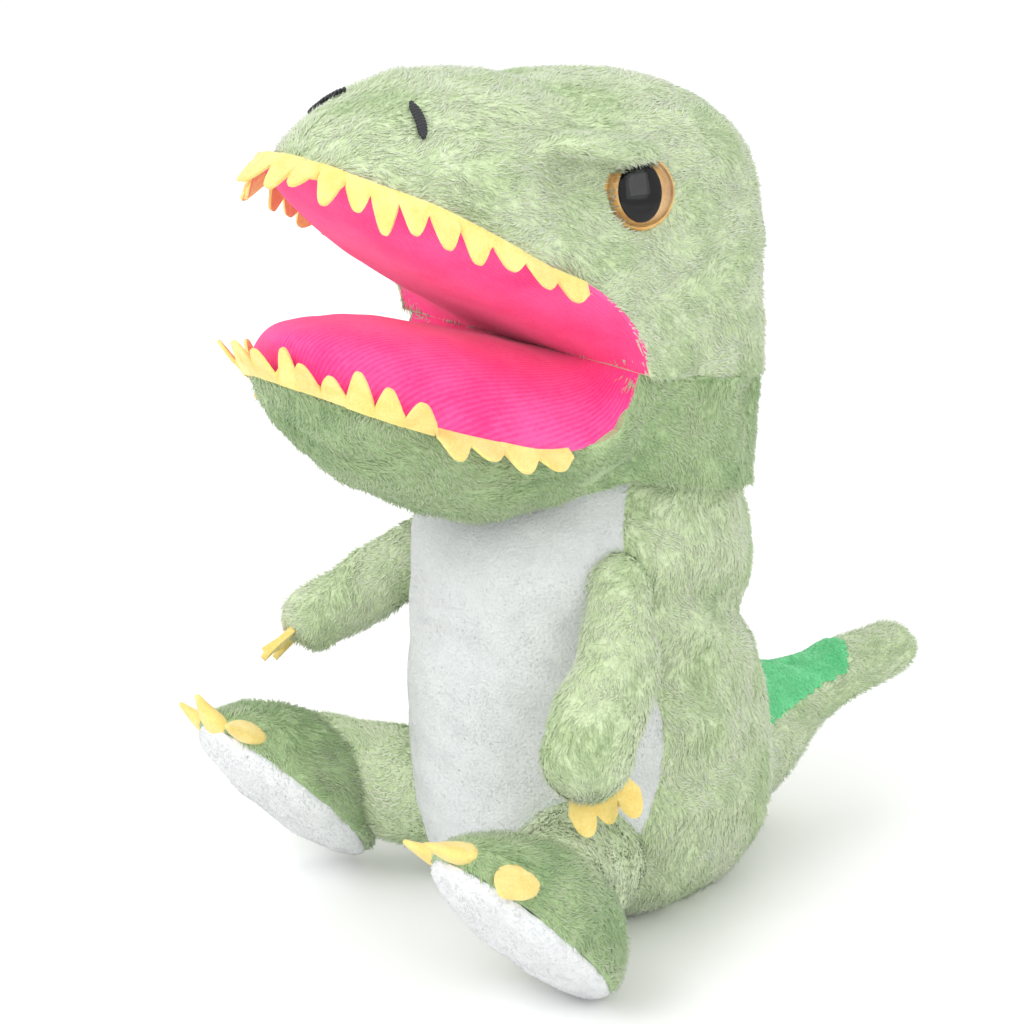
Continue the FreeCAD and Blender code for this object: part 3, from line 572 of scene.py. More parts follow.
def pile(name, skin, material, slot, flow, length=3.4, width=0.62, spacing=0.98, lie=0.42,
         seed=1, keep=None, swirl=0.9, patch_span=34.0):
    """Tufts of pile over a skin: flow(points) is the way they are brushed."""
    spots, facing = scatter(skin, spacing, seed)
    if keep is not None:
        kept = keep(spots, facing)
        spots, facing = spots[kept], facing[kept]
    count = len(spots)
    draw = np.random.default_rng(seed + 100)
    brushed = flow(spots)
    brushed = brushed - facing * (brushed * facing).sum(axis=1)[:, None]
    brushed /= np.linalg.norm(brushed, axis=1)[:, None] + 1e-9
    across = np.cross(facing, brushed)
    turn = swirl * grain(spots, 26, seed + 1) * 1.6 + draw.normal(0, 0.32, count)
    lying = brushed * np.cos(turn)[:, None] + across * np.sin(turn)[:, None]
    lift = np.clip(lie + 0.16 * grain(spots, 14, seed + 2) + draw.normal(0, 0.12, count),
                   0.12, 1.1)
    stem = lying * np.cos(lift)[:, None] + facing * np.sin(lift)[:, None]
    side = np.cross(facing, lying)
    reach = length * MM * draw.uniform(0.7, 1.25, count)[:, None]
    half = width * MM * draw.uniform(0.75, 1.2, count)[:, None] / 2
    root = spots - facing * 0.25 * MM
    tips = root + stem * reach
    corners = np.stack([root - side * half, root + side * half,
                        root + facing * half * 1.3 + lying * half, tips], axis=1)
    mesh = bpy.data.meshes.new(name)
    first = np.arange(count)[:, None] * 4
    faces = np.concatenate([first + np.array(row) for row in
                            ((0, 3, 2), (2, 3, 1), (0, 1, 3), (0, 2, 1))], axis=1).reshape(-1, 3)
    mesh.vertices.add(count * 4)
    mesh.vertices.foreach_set("co", corners.reshape(-1).astype(np.float32))
    mesh.loops.add(faces.size)
    mesh.loops.foreach_set("vertex_index", faces.reshape(-1).astype(np.int32))
    mesh.polygons.add(len(faces))
    mesh.polygons.foreach_set("loop_start", np.arange(0, faces.size, 3, dtype=np.int32))
    mesh.update(calc_edges=True)
    mesh.polygons.foreach_set("use_smooth", np.ones(len(faces), bool))
    tone = grain(spots, patch_span, seed + 3, 4) + draw.normal(0, 0.18, count)
    # tip runs from 0 at a tuft's root to 1 at its point; the material paints shade at the roots
    # along it
    tip = np.tile([0.0, 0.0, 0.25, 1.0], count)
    for key, values in (("patch", np.repeat(tone, 4)), ("tip", tip)):
        layer = mesh.attributes.new(key, "FLOAT", "POINT")
        layer.data.foreach_set("value", values.astype(np.float32))
    low, high = spots.min(axis=0), spots.max(axis=0)
    centre = (low + high) / 2
    around = np.arctan2(spots[:, 0] - centre[0], centre[1] - spots[:, 1]) / (2 * math.pi) + 0.5
    up = (spots[:, 2] - low[2]) / (high[2] - low[2] + 1e-9)
    wrapped = np.repeat(np.stack([around, up], axis=1), 4, axis=0)[faces.reshape(-1)]
    bake_map = mesh.uv_layers.new(name="OFBake")
    bake_map.data.foreach_set("uv", wrapped.reshape(-1).astype(np.float32))
    piece = bpy.data.objects.new(name, mesh)
    bpy.context.scene.collection.objects.link(piece)
    return dress(piece, material)


def brushed_to(x, y, z):
    """Pile brushed one way all over."""
    return lambda points: np.tile(np.array([x, y, z], float), (len(points), 1))


def brushed_from(x, y, z):
    """Pile brushed away from a place in millimetres."""
    return lambda points: points - np.array([x, y, z], float) * MM

# ------------------------------------------------------------------ head and jaw


def lip_height(ahead, tilt, table):
    """Height of a lip line, a number of millimetres ahead of the crease."""
    rise = smooth_curve(np.clip(ahead, 0, None), table)[:, 0]
    return HINGE.z / MM + ahead * math.tan(math.radians(tilt)) + rise


def lip_outline(tilt, table, far):
    """The lip line from the crease to far ahead of the mouth, as (y, z)."""
    ahead = np.array([0, 2, 5, 10, 18, 28, 38, 50, 62, 75, 88, 102, 118, far], float)
    return list(zip(HINGE.y / MM - ahead, lip_height(ahead, tilt, table)))


def skull(name):
    """Stuffed skull, from the nape to the crown."""
    levels = ((128, 53, 52.5, -1), (150, 54.5, 53.5, -1), (175, 56, 54.5, -1), (200, 57, 55, -1),
              (225, 56, 54, -1), (246, 53, 52, -3), (257, 48, 49, -4), (266, 39, 43, -8),
              (273, 27, 33, -13), (277, 13, 19, -18))
    return tube(name, levels)


NAPE_NORMAL = Vector((0, math.sin(math.radians(NAPE_SLOPE)), math.cos(math.radians(NAPE_SLOPE))))

# light cover of the snout, brows and crown
snout = ball("snout", HINGE, SNOUT, UPPER_TILT)
trim(snout, HINGE + mm(0, 12, -9), Vector((0, 0.79, -0.61)))
cheeks = ball("cheeks", mm(0, -40, 220), mm(58.5, 33, 39), 20)
bridge = ball("bridge", mm(0, -62, 250), mm(46, 52, 35), 4)
crown = ball("crown", mm(0, -24, 245), mm(49.5, 50, 34), -4)
brows = [ball("brow", mm(sign * 45, -37, 262.5), mm(12, 23, 5), 11) for _, sign in SIDES]
head_skin = melt("head_skin", [skull("skull"), snout, cheeks, bridge, crown, *brows], 2.2, 9)
press(head_skin, (
    (((34, -72, 264), (43, -56, 257), (50, -44, 252)), 5, -2.6),
    (((58, -16, 250), (56, 2, 247), (50, 22, 244)), 5, -2.4),
    (((24, -74, 274), (38, -60, 266), (47, -46, 258)), 5, -1.6),
    (((58, -6, 258), (58, 14, 250), (50, 30, 246)), 4, -1.8),
    (((54, -2, 268), (52, 12, 262), (44, 30, 258)), 7, 1.6),
    (((50, -44, 236), (56, -34, 226), (60, -26, 214)), 5, -1.3),
    (((58, -14, 236), (60, -10, 222), (60, -8, 206)), 5, 1.2),
    (((58, 2, 232), (60, 4, 214), (59, 2, 198)), 4, -1.2),
    (((0, -60, 290), (0, -90, 288)), 22, -1.2)))
rumple(head_skin, 46, 1.1, 11)
rumple(head_skin, 15, 0.35, 12)
mouth_gap = slab("mouth_gap", lip_outline(UPPER_TILT, UPPER_LIP, 170)
                 + [(HINGE.y / MM - 170, 100), (HINGE.y / MM, 100)], 120)
for sign in (1, -1):
    seat = ball("eye_seat", mm(sign * 52, -28.5, 247.5), mm(7, 11.4, 11.0))
    cutter(head_skin, "head_skin", seat)
cutter(head_skin, "head_skin", mouth_gap)
trim(head_skin, HINGE, -NAPE_NORMAL)

# darker cover of the jaw and the nape, in one piece round the corners of the mouth
jaw_egg = ball("jaw_egg", HINGE, JAW, LOWER_TILT)
trim(jaw_egg, HINGE + mm(0, 8, 0), Vector((0, 1, 0)))
jowls = ball("jowls", mm(0, -42, 176), mm(58, 30, 28), 10)
jaw_skin = melt("jaw_skin", [skull("nape"), jaw_egg, jowls], 2.2, 10)
press(jaw_skin, (
    (((58, -26, 196), (60, -8, 186), (54, 22, 184)), 5, 1.5),
    (((60, 4, 190), (59, 6, 172), (58, 4, 158)), 4, -1.8),
    (((52, 28, 186), (50, 26, 168), (52, 22, 152)), 5, -1.4),
    (((0, -150, 203), (0, -120, 180), (0, -90, 158)), 9, -0.8)))
rumple(jaw_skin, 40, 1.2, 21)
rumple(jaw_skin, 14, 0.35, 22)
below_nape = slab("below_nape", ((-80, 136), (-58, 143), (-40, 152), (-26, 156.5), (90, 130),
                                 (90, 60), (-80, 60)), 120)
cutter(jaw_skin, "jaw_skin", below_nape)
mouth_gap = slab("mouth_gap", lip_outline(LOWER_TILT, LOWER_LIP, 170)
                 + [(HINGE.y / MM - 170, 330), (HINGE.y / MM, 330)], 120)
cutter(jaw_skin, "jaw_skin", mouth_gap)
trim(jaw_skin, HINGE, NAPE_NORMAL)
neck_room = melt("neck_room", [
    ball("neck_room", mm(0, -1, 173), mm(51, 49, 51)),
    tube("chest_room", [(z, w + 0.5, d + 0.8, y) for z, w, d, y in SLEEVE[7:]])], 3, 3)
cutter(jaw_skin, "jaw_skin", neck_room)

JAW_START = HINGE + mm(0, -0.90 * 24, -0.43 * 24)
JAW_END = HINGE + mm(0, 0.90 * 12, 0.43 * 12)


def with_jaw(piece):
    """Puts a piece's place, turn and size into its mesh."""
    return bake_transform(piece)


def mostly(parts):
    return np.array(parts, float) * MM


def above_mouth(points, facing):
    """Where the head cover carries pile: not inside the mouth, not on the nape cut."""
    ahead = HINGE.y - points[:, 1]
    lip = lip_height(ahead / MM, UPPER_TILT, UPPER_LIP) * MM
    inside = (ahead > -0.001) & (points[:, 2] < lip + 0.0016) & (facing[:, 2] < -0.4)
    drop = (points - np.array(HINGE)) @ np.array(NAPE_NORMAL)
    return ~inside & ~((drop < 0.0006) & (facing[:, 2] < -0.8))


def below_mouth(points, facing):
    ahead = HINGE.y - points[:, 1]
    lip = lip_height(ahead / MM, LOWER_TILT, LOWER_LIP) * MM
    inside = (ahead > -0.001) & (points[:, 2] > lip - 0.0016) & (facing[:, 2] > 0.4)
    drop = (points - np.array(HINGE)) @ np.array(NAPE_NORMAL)
    nape = (drop > -0.0006) & (facing[:, 2] > 0.8)
    from_neck = points - np.array(NECK)
    socket = (from_neck * facing).sum(axis=1) < 0
    hem = (facing[:, 2] < -0.7) & (points[:, 1] > -0.045)
    return ~inside & ~nape & ~socket & ~hem


soft(head_skin)
soft(jaw_skin)
dress(head_skin, LIGHT_BACKING)
dress(jaw_skin, DARK_BACKING)
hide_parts("head_cover", "head_stuffing", "finger_pocket")
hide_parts("jaw_cover", "nape_band", "chin_stuffing", "thumb_pocket")


def head_flow(points):
    """Brushed back from the tip of the snout and down over the cheeks."""
    away = points - mostly((0, -150, 262))
    away[:, 2] -= 0.012
    return away


def jaw_flow(points):
    """Brushed back along the jaw, then down over the nape."""
    away = points - mostly((0, -170, 225))
    away /= np.linalg.norm(away, axis=1)[:, None]
    away[:, 2] -= 1.3 * np.clip((points[:, 1] + 0.05) / 0.04, 0, 1)
    return away


head_pile = pile("head_pile", head_skin, LIGHT_PILE, "light_plush", head_flow, seed=31,
                 keep=above_mouth)
jaw_pile = pile("jaw_pile", jaw_skin, DARK_PILE, "dark_plush", jaw_flow,
                length=3.0, seed=32, keep=below_mouth)
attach(head_skin, "head")
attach(head_pile, "head")
with_jaw(jaw_skin)
with_jaw(jaw_pile)

# ------------------------------------------------------------------ mouth lining


def lining(name, half, tilt, table, puff, thickness):
    """Knitted lining of one half of the mouth: a soft palate that rolls out to the lip."""
    lean = math.radians(tilt)
    up = -1 if tilt == UPPER_TILT else 1

    def place(u, v):
        across = 2 * u - 1
        turn = v * math.pi / 2
        along = (half[1] / MM - 1.0) * np.sin(turn)
        x = (half[0] / MM - 0.8) * np.cos(turn) ** 0.82 * across
        ahead = along * math.cos(lean)
        plate = along * math.sin(lean)
        rim = np.maximum(np.abs(across), 0.0) ** 2.6
        rise = smooth_curve(ahead, table)[:, 0] * rim
        crown = up * puff * (1 - np.abs(across) ** 3) * np.sin(np.clip(v * 1.02, 0, 1) * math.pi)
        ripple = 0.5 * grain(np.stack([x, ahead, 0 * x], axis=1) * MM, 30, 41)
        height = plate + rise + crown + ripple * (1 - rim)
        return np.stack([x, HINGE.y / MM - ahead, HINGE.z / MM + height], axis=1) * MM

    piece = sheet_grid(name, 64, 64, place)
    close_seams(piece)
    facing = normals_of(piece).mean(axis=0)[2]
    use(piece, "SOLIDIFY", thickness=thickness * MM, offset=-1.0 if facing * up > 0 else 1.0)
    close_seams(piece, 0.01)
    return soft(piece)


upper_lining = lining("upper_lining", SNOUT, UPPER_TILT, UPPER_LIP, 9.5, 1.6)
lower_lining = lining("lower_lining", JAW, LOWER_TILT, LOWER_LIP, 7.5, 1.6)
for piece, half in ((upper_lining, "upper"), (lower_lining, "lower")):
    dress(piece, MOUTH_KNIT)
    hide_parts(f"{half}_mouth_lining", f"{half}_mouth_board")
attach(upper_lining, "head")
with_jaw(lower_lining)

# ------------------------------------------------------------------ felt teeth


def teeth(name, half, tilt, table, count, up):
    """A strip of pointed felt teeth sewn into the lip from corner to corner."""
    lean = math.radians(tilt)
    first = 0.085

    def place(u, v):
        turn = math.pi * (first + (1 - 2 * first) * u)
        x = (half[0] / MM - 0.3) * np.sign(np.cos(turn)) * np.abs(np.cos(turn)) ** 0.9
        along = (half[1] / MM - 0.4) * np.sin(turn) ** 0.95
        ahead = along * math.cos(lean)
        height = along * math.sin(lean) + smooth_curve(ahead, table)[:, 0]
        rim = np.stack([x, HINGE.y / MM - ahead, HINGE.z / MM + height], axis=1)
        out = np.stack([np.cos(turn) / half[0], -np.sin(turn) / half[1], 0 * turn], axis=1)
        out /= np.linalg.norm(out, axis=1)[:, None]
        tooth = (u * count) % 1.0
        number = np.floor(u * count - 1e-9)
        near = np.clip(np.minimum(u, 1 - u) / 0.22, 0, 1)
        size = 1 + 0.16 * np.sin(number * 2.4) + 0.10 * np.sin(number * 5.1 + 1)
        point = np.clip(1 - np.abs(2 * tooth - 1), 0, 1)
        point = np.sin(np.minimum(point * 1.12, 1) * math.pi / 2) ** 1.25
        drop = 2.4 + size * point * (3.4 + 5.2 * near)
        if up < 0:
            flare = np.radians(28 + 16 * np.sin(number * 1.7) + 34 * (np.sin(turn) > 0.985))
        else:
            folded = (np.minimum(number, count - 1 - number) < 4) * 1.0
            flare = np.radians(26 + 10 * np.sin(number * 1.9) + 100 * folded)
        lie = out * np.sin(flare)[:, None]
        lie[:, 2] += up * np.cos(flare)
        reach = (v[:, None] * (drop[:, None] + 1.6)) - 1.6
        curl = out * (0.9 * v ** 2 * np.sin(number * 3.3))[:, None]
        return (rim + lie * reach + curl + out * 1.1) * MM

    piece = sheet_grid(name, count * 14, 6, place)
    use(piece, "SOLIDIFY", thickness=1.1 * MM, offset=0.0)
    close_seams(piece, 0.01)
    use(piece, "BEVEL", width=0.25 * MM, segments=1, limit_method="ANGLE")
    return soft(piece, 40)


upper_teeth = teeth("upper_teeth_felt", SNOUT, UPPER_TILT, UPPER_LIP, 21, -1)
lower_teeth = teeth("lower_teeth_felt", JAW, LOWER_TILT, LOWER_LIP, 21, 1)
for piece, node in ((upper_teeth, "upper_teeth"), (lower_teeth, "lower_teeth")):
    dress(piece, YELLOW_FELT)
    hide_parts(node)
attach(upper_teeth, "head")
with_jaw(lower_teeth)

# ------------------------------------------------------------------ eyes and nostrils
EYE_TURN, EYE_LIFT, EYE_RADIUS = 22.0, 12.0, 11.9


def eye_axes(sign):
    """Across, up and out of an eye."""
    turn, lift = math.radians(EYE_TURN), math.radians(EYE_LIFT)
    out = Vector((sign * math.cos(turn) * math.cos(lift), -math.sin(turn) * math.cos(lift),
                  math.sin(lift)))
    across = Vector((0, 0, 1)).cross(out).normalized()
    return Matrix((across, out.cross(across), out)).transposed().to_4x4()


def turned_disc(name, profile, segments=72):
    """A round piece turned from (radius, height) points, closed at its middle."""
    deselect()
    bpy.ops.mesh.primitive_circle_add(vertices=segments, radius=profile[0][0] * MM,
                                      fill_type="NGON", location=mm(0, 0, profile[0][1]))
    piece = named(name)
    settle(piece)
    bpy.ops.object.mode_set(mode="EDIT")
    bpy.ops.mesh.select_all(action="SELECT")
    for low, high in zip(profile[:-1], profile[1:]):
        bpy.ops.mesh.extrude_region_move(
            TRANSFORM_OT_translate={"value": mm(0, 0, high[1] - low[1])})
        share = high[0] / low[0]
        bpy.ops.transform.resize(value=(share, share, 1), center_override=mm(0, 0, high[1]))
    bpy.ops.mesh.select_all(action="SELECT")
    bpy.ops.mesh.normals_make_consistent(inside=False)
    bpy.ops.object.mode_set(mode="OBJECT")
    return piece


def dome_profile(radius, height, base, steps=9):
    return [(radius * math.cos((math.pi / 2 - 0.04) * step / steps),
             base + height * math.sin((math.pi / 2 - 0.04) * step / steps))
            for step in range(steps + 1)]


for side, sign in SIDES:
    low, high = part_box(f"{side}_pupil")
    seat = Matrix.Translation((low + high) / 2) @ eye_axes(sign)
    iris = turned_disc(f"{side}_iris_dish", [
        (9.0, -3.0), (EYE_RADIUS - 0.6, -2.6), (EYE_RADIUS, -1.6), (EYE_RADIUS, 0.4),
        (EYE_RADIUS - 0.7, 1.5), (EYE_RADIUS - 1.9, 1.9), (EYE_RADIUS - 3.0, 1.6), (7.6, 1.5),
        (3.0, 1.6), (0.2, 1.6)])
    slit = turned_disc(f"{side}_pupil_lens", [(1.0, -0.6), *dome_profile(1.0, 1.0, 0.0)])
    slit.scale = (7.1, 9.4, 1.6)
    slit.location.z = 1.75 * MM
    settle(slit)
    dome = turned_disc(f"{side}_clear_dome", [
        (EYE_RADIUS - 1.3, 1.4), *dome_profile(EYE_RADIUS - 1.1, 4.9, 1.8, 12)])
    for piece, material, slot, node in ((iris, AMBER, "eye_amber", f"{side}_eye_iris"),
                                        (slit, BLACK, "eye_black", f"{side}_pupil"),
                                        (dome, CLEAR, "eye_clear", f"{side}_eye_dome")):
        piece.matrix_world = seat
        settle(soft(piece))
        dress(piece, material)
        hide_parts(node)
        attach(piece, "head")

NOSTRIL_TOP, NOSTRIL_LOW, STITCHES = (16.5, -89.5, 279.5), (27.0, -93.5, 270.0), 13

for side, sign in SIDES:
    threads = []
    for stitch in range(STITCHES):
        share = stitch / (STITCHES - 1)
        spot = mm(*[low * share + top * (1 - share) for top, low in zip(NOSTRIL_TOP, NOSTRIL_LOW)])
        spot.x = sign * (spot.x + 0.0012 * math.sin(share * math.pi))
        _, seat, out, _ = head_skin.closest_point_on_mesh(spot)
        down = Vector(NOSTRIL_LOW) - Vector(NOSTRIL_TOP)
        down.x *= sign
        lay = down.cross(out).to_track_quat("X", "Z").to_euler()
        deselect()
        bpy.ops.mesh.primitive_uv_sphere_add(segments=14, ring_count=8, radius=MM,
                                             location=seat + out * 1.5 * MM, rotation=lay)
        thread = named(f"{side}_stitch_{stitch}")
        thread.scale = (1.75 - 0.9 * (2 * share - 1) ** 4, 0.68, 0.9)
        threads.append(settle(thread))
    deselect()
    for thread in threads:
        thread.select_set(True)
    bpy.context.view_layer.objects.active = threads[0]
    bpy.ops.object.join()
    bar = named(f"{side}_nostril_stitches")
    soft(bar, 80)
    dress(bar, THREAD)
    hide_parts(f"{side}_nostril")
    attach(bar, "head")

# ------------------------------------------------------------------ sleeve of the body
COLUMNS = {"belly": 46, "side": 40, "stripe": 8}
SLEEVE_TOP = SLEEVE[-1][0]


def seam_angle(height):
    """Where the belly seam runs, in degrees from the front."""
    return smooth_curve(height, BELLY_SEAM)[:, 0]


def sleeve_place(u, v):
    """The sleeve unrolled: u goes round from the back, v up from the hem."""
    height = v * SLEEVE_TOP
    counts = [COLUMNS["stripe"] / 2, COLUMNS["side"], COLUMNS["belly"], COLUMNS["side"],
              COLUMNS["stripe"] / 2]
    edges = np.cumsum([0] + counts) / sum(counts)
    belly = seam_angle(height)
    stops = np.stack([0 * height - 180, 0 * height - 180 + BACK_STRIPE_ANGLE, -belly, belly,
                      0 * height + 180 - BACK_STRIPE_ANGLE, 0 * height + 180], axis=1)
    index = np.clip(np.searchsorted(edges, u, side="right") - 1, 0, 4)
    share = (u - edges[index]) / (edges[index + 1] - edges[index])
    rows = np.arange(len(u))
    angle = np.radians(stops[rows, index] * (1 - share) + stops[rows, index + 1] * share)
    width, depth, centre = smooth_curve(height, SLEEVE).T
    haunch = np.exp(-((height - 26) / 26) ** 2 - ((np.abs(angle) - 1.25) / 0.55) ** 2)
    rump = np.exp(-((height - 30) / 26) ** 2 - ((np.abs(angle) - 2.75) / 0.5) ** 2)
    out = 1 + 0.06 * haunch + 0.02 * rump
    return np.stack([out * width * np.sin(angle), centre - out * depth * np.cos(angle),
                     height], axis=1) * MM


columns = 2 * COLUMNS["side"] + COLUMNS["belly"] + COLUMNS["stripe"]
sleeve = close_seams(sheet_grid("sleeve", columns, 84, sleeve_place))
facing = (normals_of(sleeve) * (points_of(sleeve) - np.array(mm(0, 0, 80)))).sum()
if facing < 0:
    pick(sleeve)
    bpy.ops.object.mode_set(mode="EDIT")
    bpy.ops.mesh.select_all(action="SELECT")
    bpy.ops.mesh.flip_normals()
    bpy.ops.object.mode_set(mode="OBJECT")
press(sleeve, (
    (((58, -4, 112), (52, 14, 108), (40, 36, 98), (22, 54, 89), (0, 62, 86)), 8, -4.6),
    (((58, -8, 92), (60, 16, 80), (50, 44, 66)), 8, -2.2),
    (((60, 0, 76), (64, 14, 56), (56, 44, 38)), 7, 2.4),
    (((62, -14, 66), (66, 4, 40), (62, 20, 18)), 6, -2.0),
    (((46, -50, 44), (58, -30, 54), (66, -10, 50)), 6, -2.4),
    (((40, -46, 108), (50, -34, 96), (56, -22, 84)), 5, -1.8),
    (((30, 58, 66), (44, 48, 74), (56, 26, 84)), 6, 1.8)))
press(sleeve, (
    (((-34, -58, 112), (-12, -66, 98), (12, -66, 99), (36, -56, 114)), 7, -1.4),
    (((-30, -61, 90), (-8, -68, 80), (16, -67, 82), (38, -56, 92)), 8, 1.1),
    (((-20, -66, 58), (4, -68, 48), (26, -62, 52)), 7, -1.0)), both_sides=False)
rumple(sleeve, 52, 1.3, 51)
rumple(sleeve, 17, 0.35, 52)
low_rim = points_of(sleeve)
low_rim[:, 2] = np.maximum(low_rim[:, 2], 0.0)
put_points(sleeve, low_rim)


def sleeve_part(name, wanted, wall, material, slot, *nodes):
    """One sewn panel of the sleeve, cut out along its seams and given its cloth's wall."""
    pick(sleeve)
    bpy.ops.object.duplicate()
    piece = named(name)
    co = points_of(piece)
    mesh = piece.data
    centres = np.array([co[list(face.vertices)].mean(axis=0) for face in mesh.polygons]) / MM
    width, depth, centre = smooth_curve(centres[:, 2], SLEEVE).T
    angle = np.degrees(np.arctan2(centres[:, 0] / width, -(centres[:, 1] - centre) / depth))
    drop = ~wanted(angle, centres[:, 2])
    mesh.polygons.foreach_set("select", drop)
    mesh.vertices.foreach_set("select", np.zeros(len(mesh.vertices), bool))
    mesh.edges.foreach_set("select", np.zeros(len(mesh.edges), bool))
    bpy.ops.object.mode_set(mode="EDIT")
    bpy.ops.mesh.select_mode(type="FACE")
    bpy.ops.mesh.delete(type="FACE")
    bpy.ops.object.mode_set(mode="OBJECT")
    use(piece, "SOLIDIFY", thickness=wall * MM, offset=-1.0)
    soft(piece, 60)
    dress(piece, material)
    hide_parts(*nodes)
    return piece


def on_belly(angle, height):
    return np.abs(angle) < seam_angle(height)


def on_stripe(angle, height):
    return (np.abs(angle) > 180 - BACK_STRIPE_ANGLE) & (height > 34)


def on_side(sign):
    return lambda angle, height: (angle * sign > 0) & ~on_belly(angle, height) & ~on_stripe(
        angle, height)


def panel_pile(name, panel, material, slot, seed, **settings):
    """Pile on the outside of a sleeve panel only."""
    def outside(points, facing):
        away = points * np.array([1, 1, 0])
        return (away * facing).sum(axis=1) > 0.006

    made = pile(name, panel, material, slot, brushed_to(0, 0.15, -1), seed=seed, keep=outside,
                **settings)
    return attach(made, "torso")


belly = sleeve_part("belly_cloth", on_belly, 1.2, BELLY_BACKING, "white_plush", "belly_panel")
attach(belly, "torso")
panel_pile("belly_pile", belly, BELLY_PILE, "white_plush", 61, length=1.0, width=0.42,
           spacing=0.8, lie=0.35)
for side, sign in SIDES:
    panel = sleeve_part(f"{side}_side_cloth", on_side(sign), 1.6, LIGHT_BACKING, "light_plush",
                        f"{side}_side_panel")
    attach(panel, "torso")
    panel_pile(f"{side}_side_pile", panel, LIGHT_PILE, "light_plush", 62 + sign)
stripe = sleeve_part("back_stripe_cloth", on_stripe, 1.4, BRIGHT_BACKING, "bright_plush",
                     "back_stripe")
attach(stripe, "torso")
panel_pile("back_stripe_pile", stripe, BRIGHT_PILE, "bright_plush", 65, length=1.3, width=0.5,
           spacing=0.86)


bpy.data.objects.remove(sleeve)


def ring_place(drop, lowest, highest):
    """A band inside or round the sleeve, drop millimetres in from its face."""
    def place(u, v):
        angle = 2 * math.pi * u
        height = lowest + (highest - lowest) * v
        width, depth, centre = smooth_curve(height, SLEEVE).T
        return np.stack([(width - drop) * np.sin(angle), centre - (depth - drop) * np.cos(angle),
                         height], axis=1) * MM
    return place


inner = close_seams(sheet_grid("sleeve_lining_cloth", 96, 40, ring_place(8.5, 1.0, 160)))
use(inner, "SOLIDIFY", thickness=0.8 * MM, offset=0.0)
dress(soft(inner), LINING_CLOTH)
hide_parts("sleeve_lining")
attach(inner, "torso")
hem = close_seams(sheet_grid("hem_binding", 96, 10, ring_place(1.6, 0.4, 6)))
use(hem, "SOLIDIFY", thickness=2.6 * MM, offset=0.0)
use(hem, "BEVEL", width=0.8 * MM, segments=3, limit_method="ANGLE")
dress(soft(hem), LIGHT_BACKING)
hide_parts("hem_band")
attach(hem, "torso")

# a closed plug that hides the inside of the neck; the real neck is open to the hand
PLUG_RADIUS, PLUG_LOW, PLUG_HIGH = BALL - 4.5, 146, 184
neck_ball = ball("neck_ball", NECK, mm(PLUG_RADIUS, PLUG_RADIUS, PLUG_RADIUS))
trim(neck_ball, mm(0, 0, PLUG_LOW), Vector((0, 0, -1)))
trim(neck_ball, mm(0, 0, PLUG_HIGH), Vector((0, 0, 1)))
use(neck_ball, "SMOOTH", factor=0.4, iterations=2)
rumple(neck_ball, 16, 0.4, 71)
dress(soft(neck_ball), WHITE_BACKING)
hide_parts("neck_gusset")
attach(neck_ball, "neck")

# ------------------------------------------------------------------ arms
SHOULDER = {side: pivot(f"{side}_arm_swing") / MM for side, _ in SIDES}
ARM_PATHS = {   # the shoulder's root, the shoulder, the elbow, the wrist and the paw
    "left": ((-12, 6, 2), (-4, -1, -9), (4, -10, -22), (8, -22, -32), (11, -28, -42)),
    "right": ((12, 12, -9), (5, 4, -15), (-2, -6, -23), (-7, -15, -29), (-12, -23, -34)),
}
ARM_RADII = {"left": (9.5, 11, 13.5, 14.5, 14), "right": (11, 11.5, 12, 12, 11)}
CLAW_WAY = {"left": (0.12, 0.3, -0.9), "right": (-0.45, -0.6, -0.6)}     # the way they point
CLAW_ACROSS = {"left": (0.47, 0.76, 0.46), "right": (-0.55, 0.7, -0.3)}   # and lie side by side


def limb_flow(start, end):
    way = np.array(end, float) - np.array(start, float)
    return brushed_to(*way)


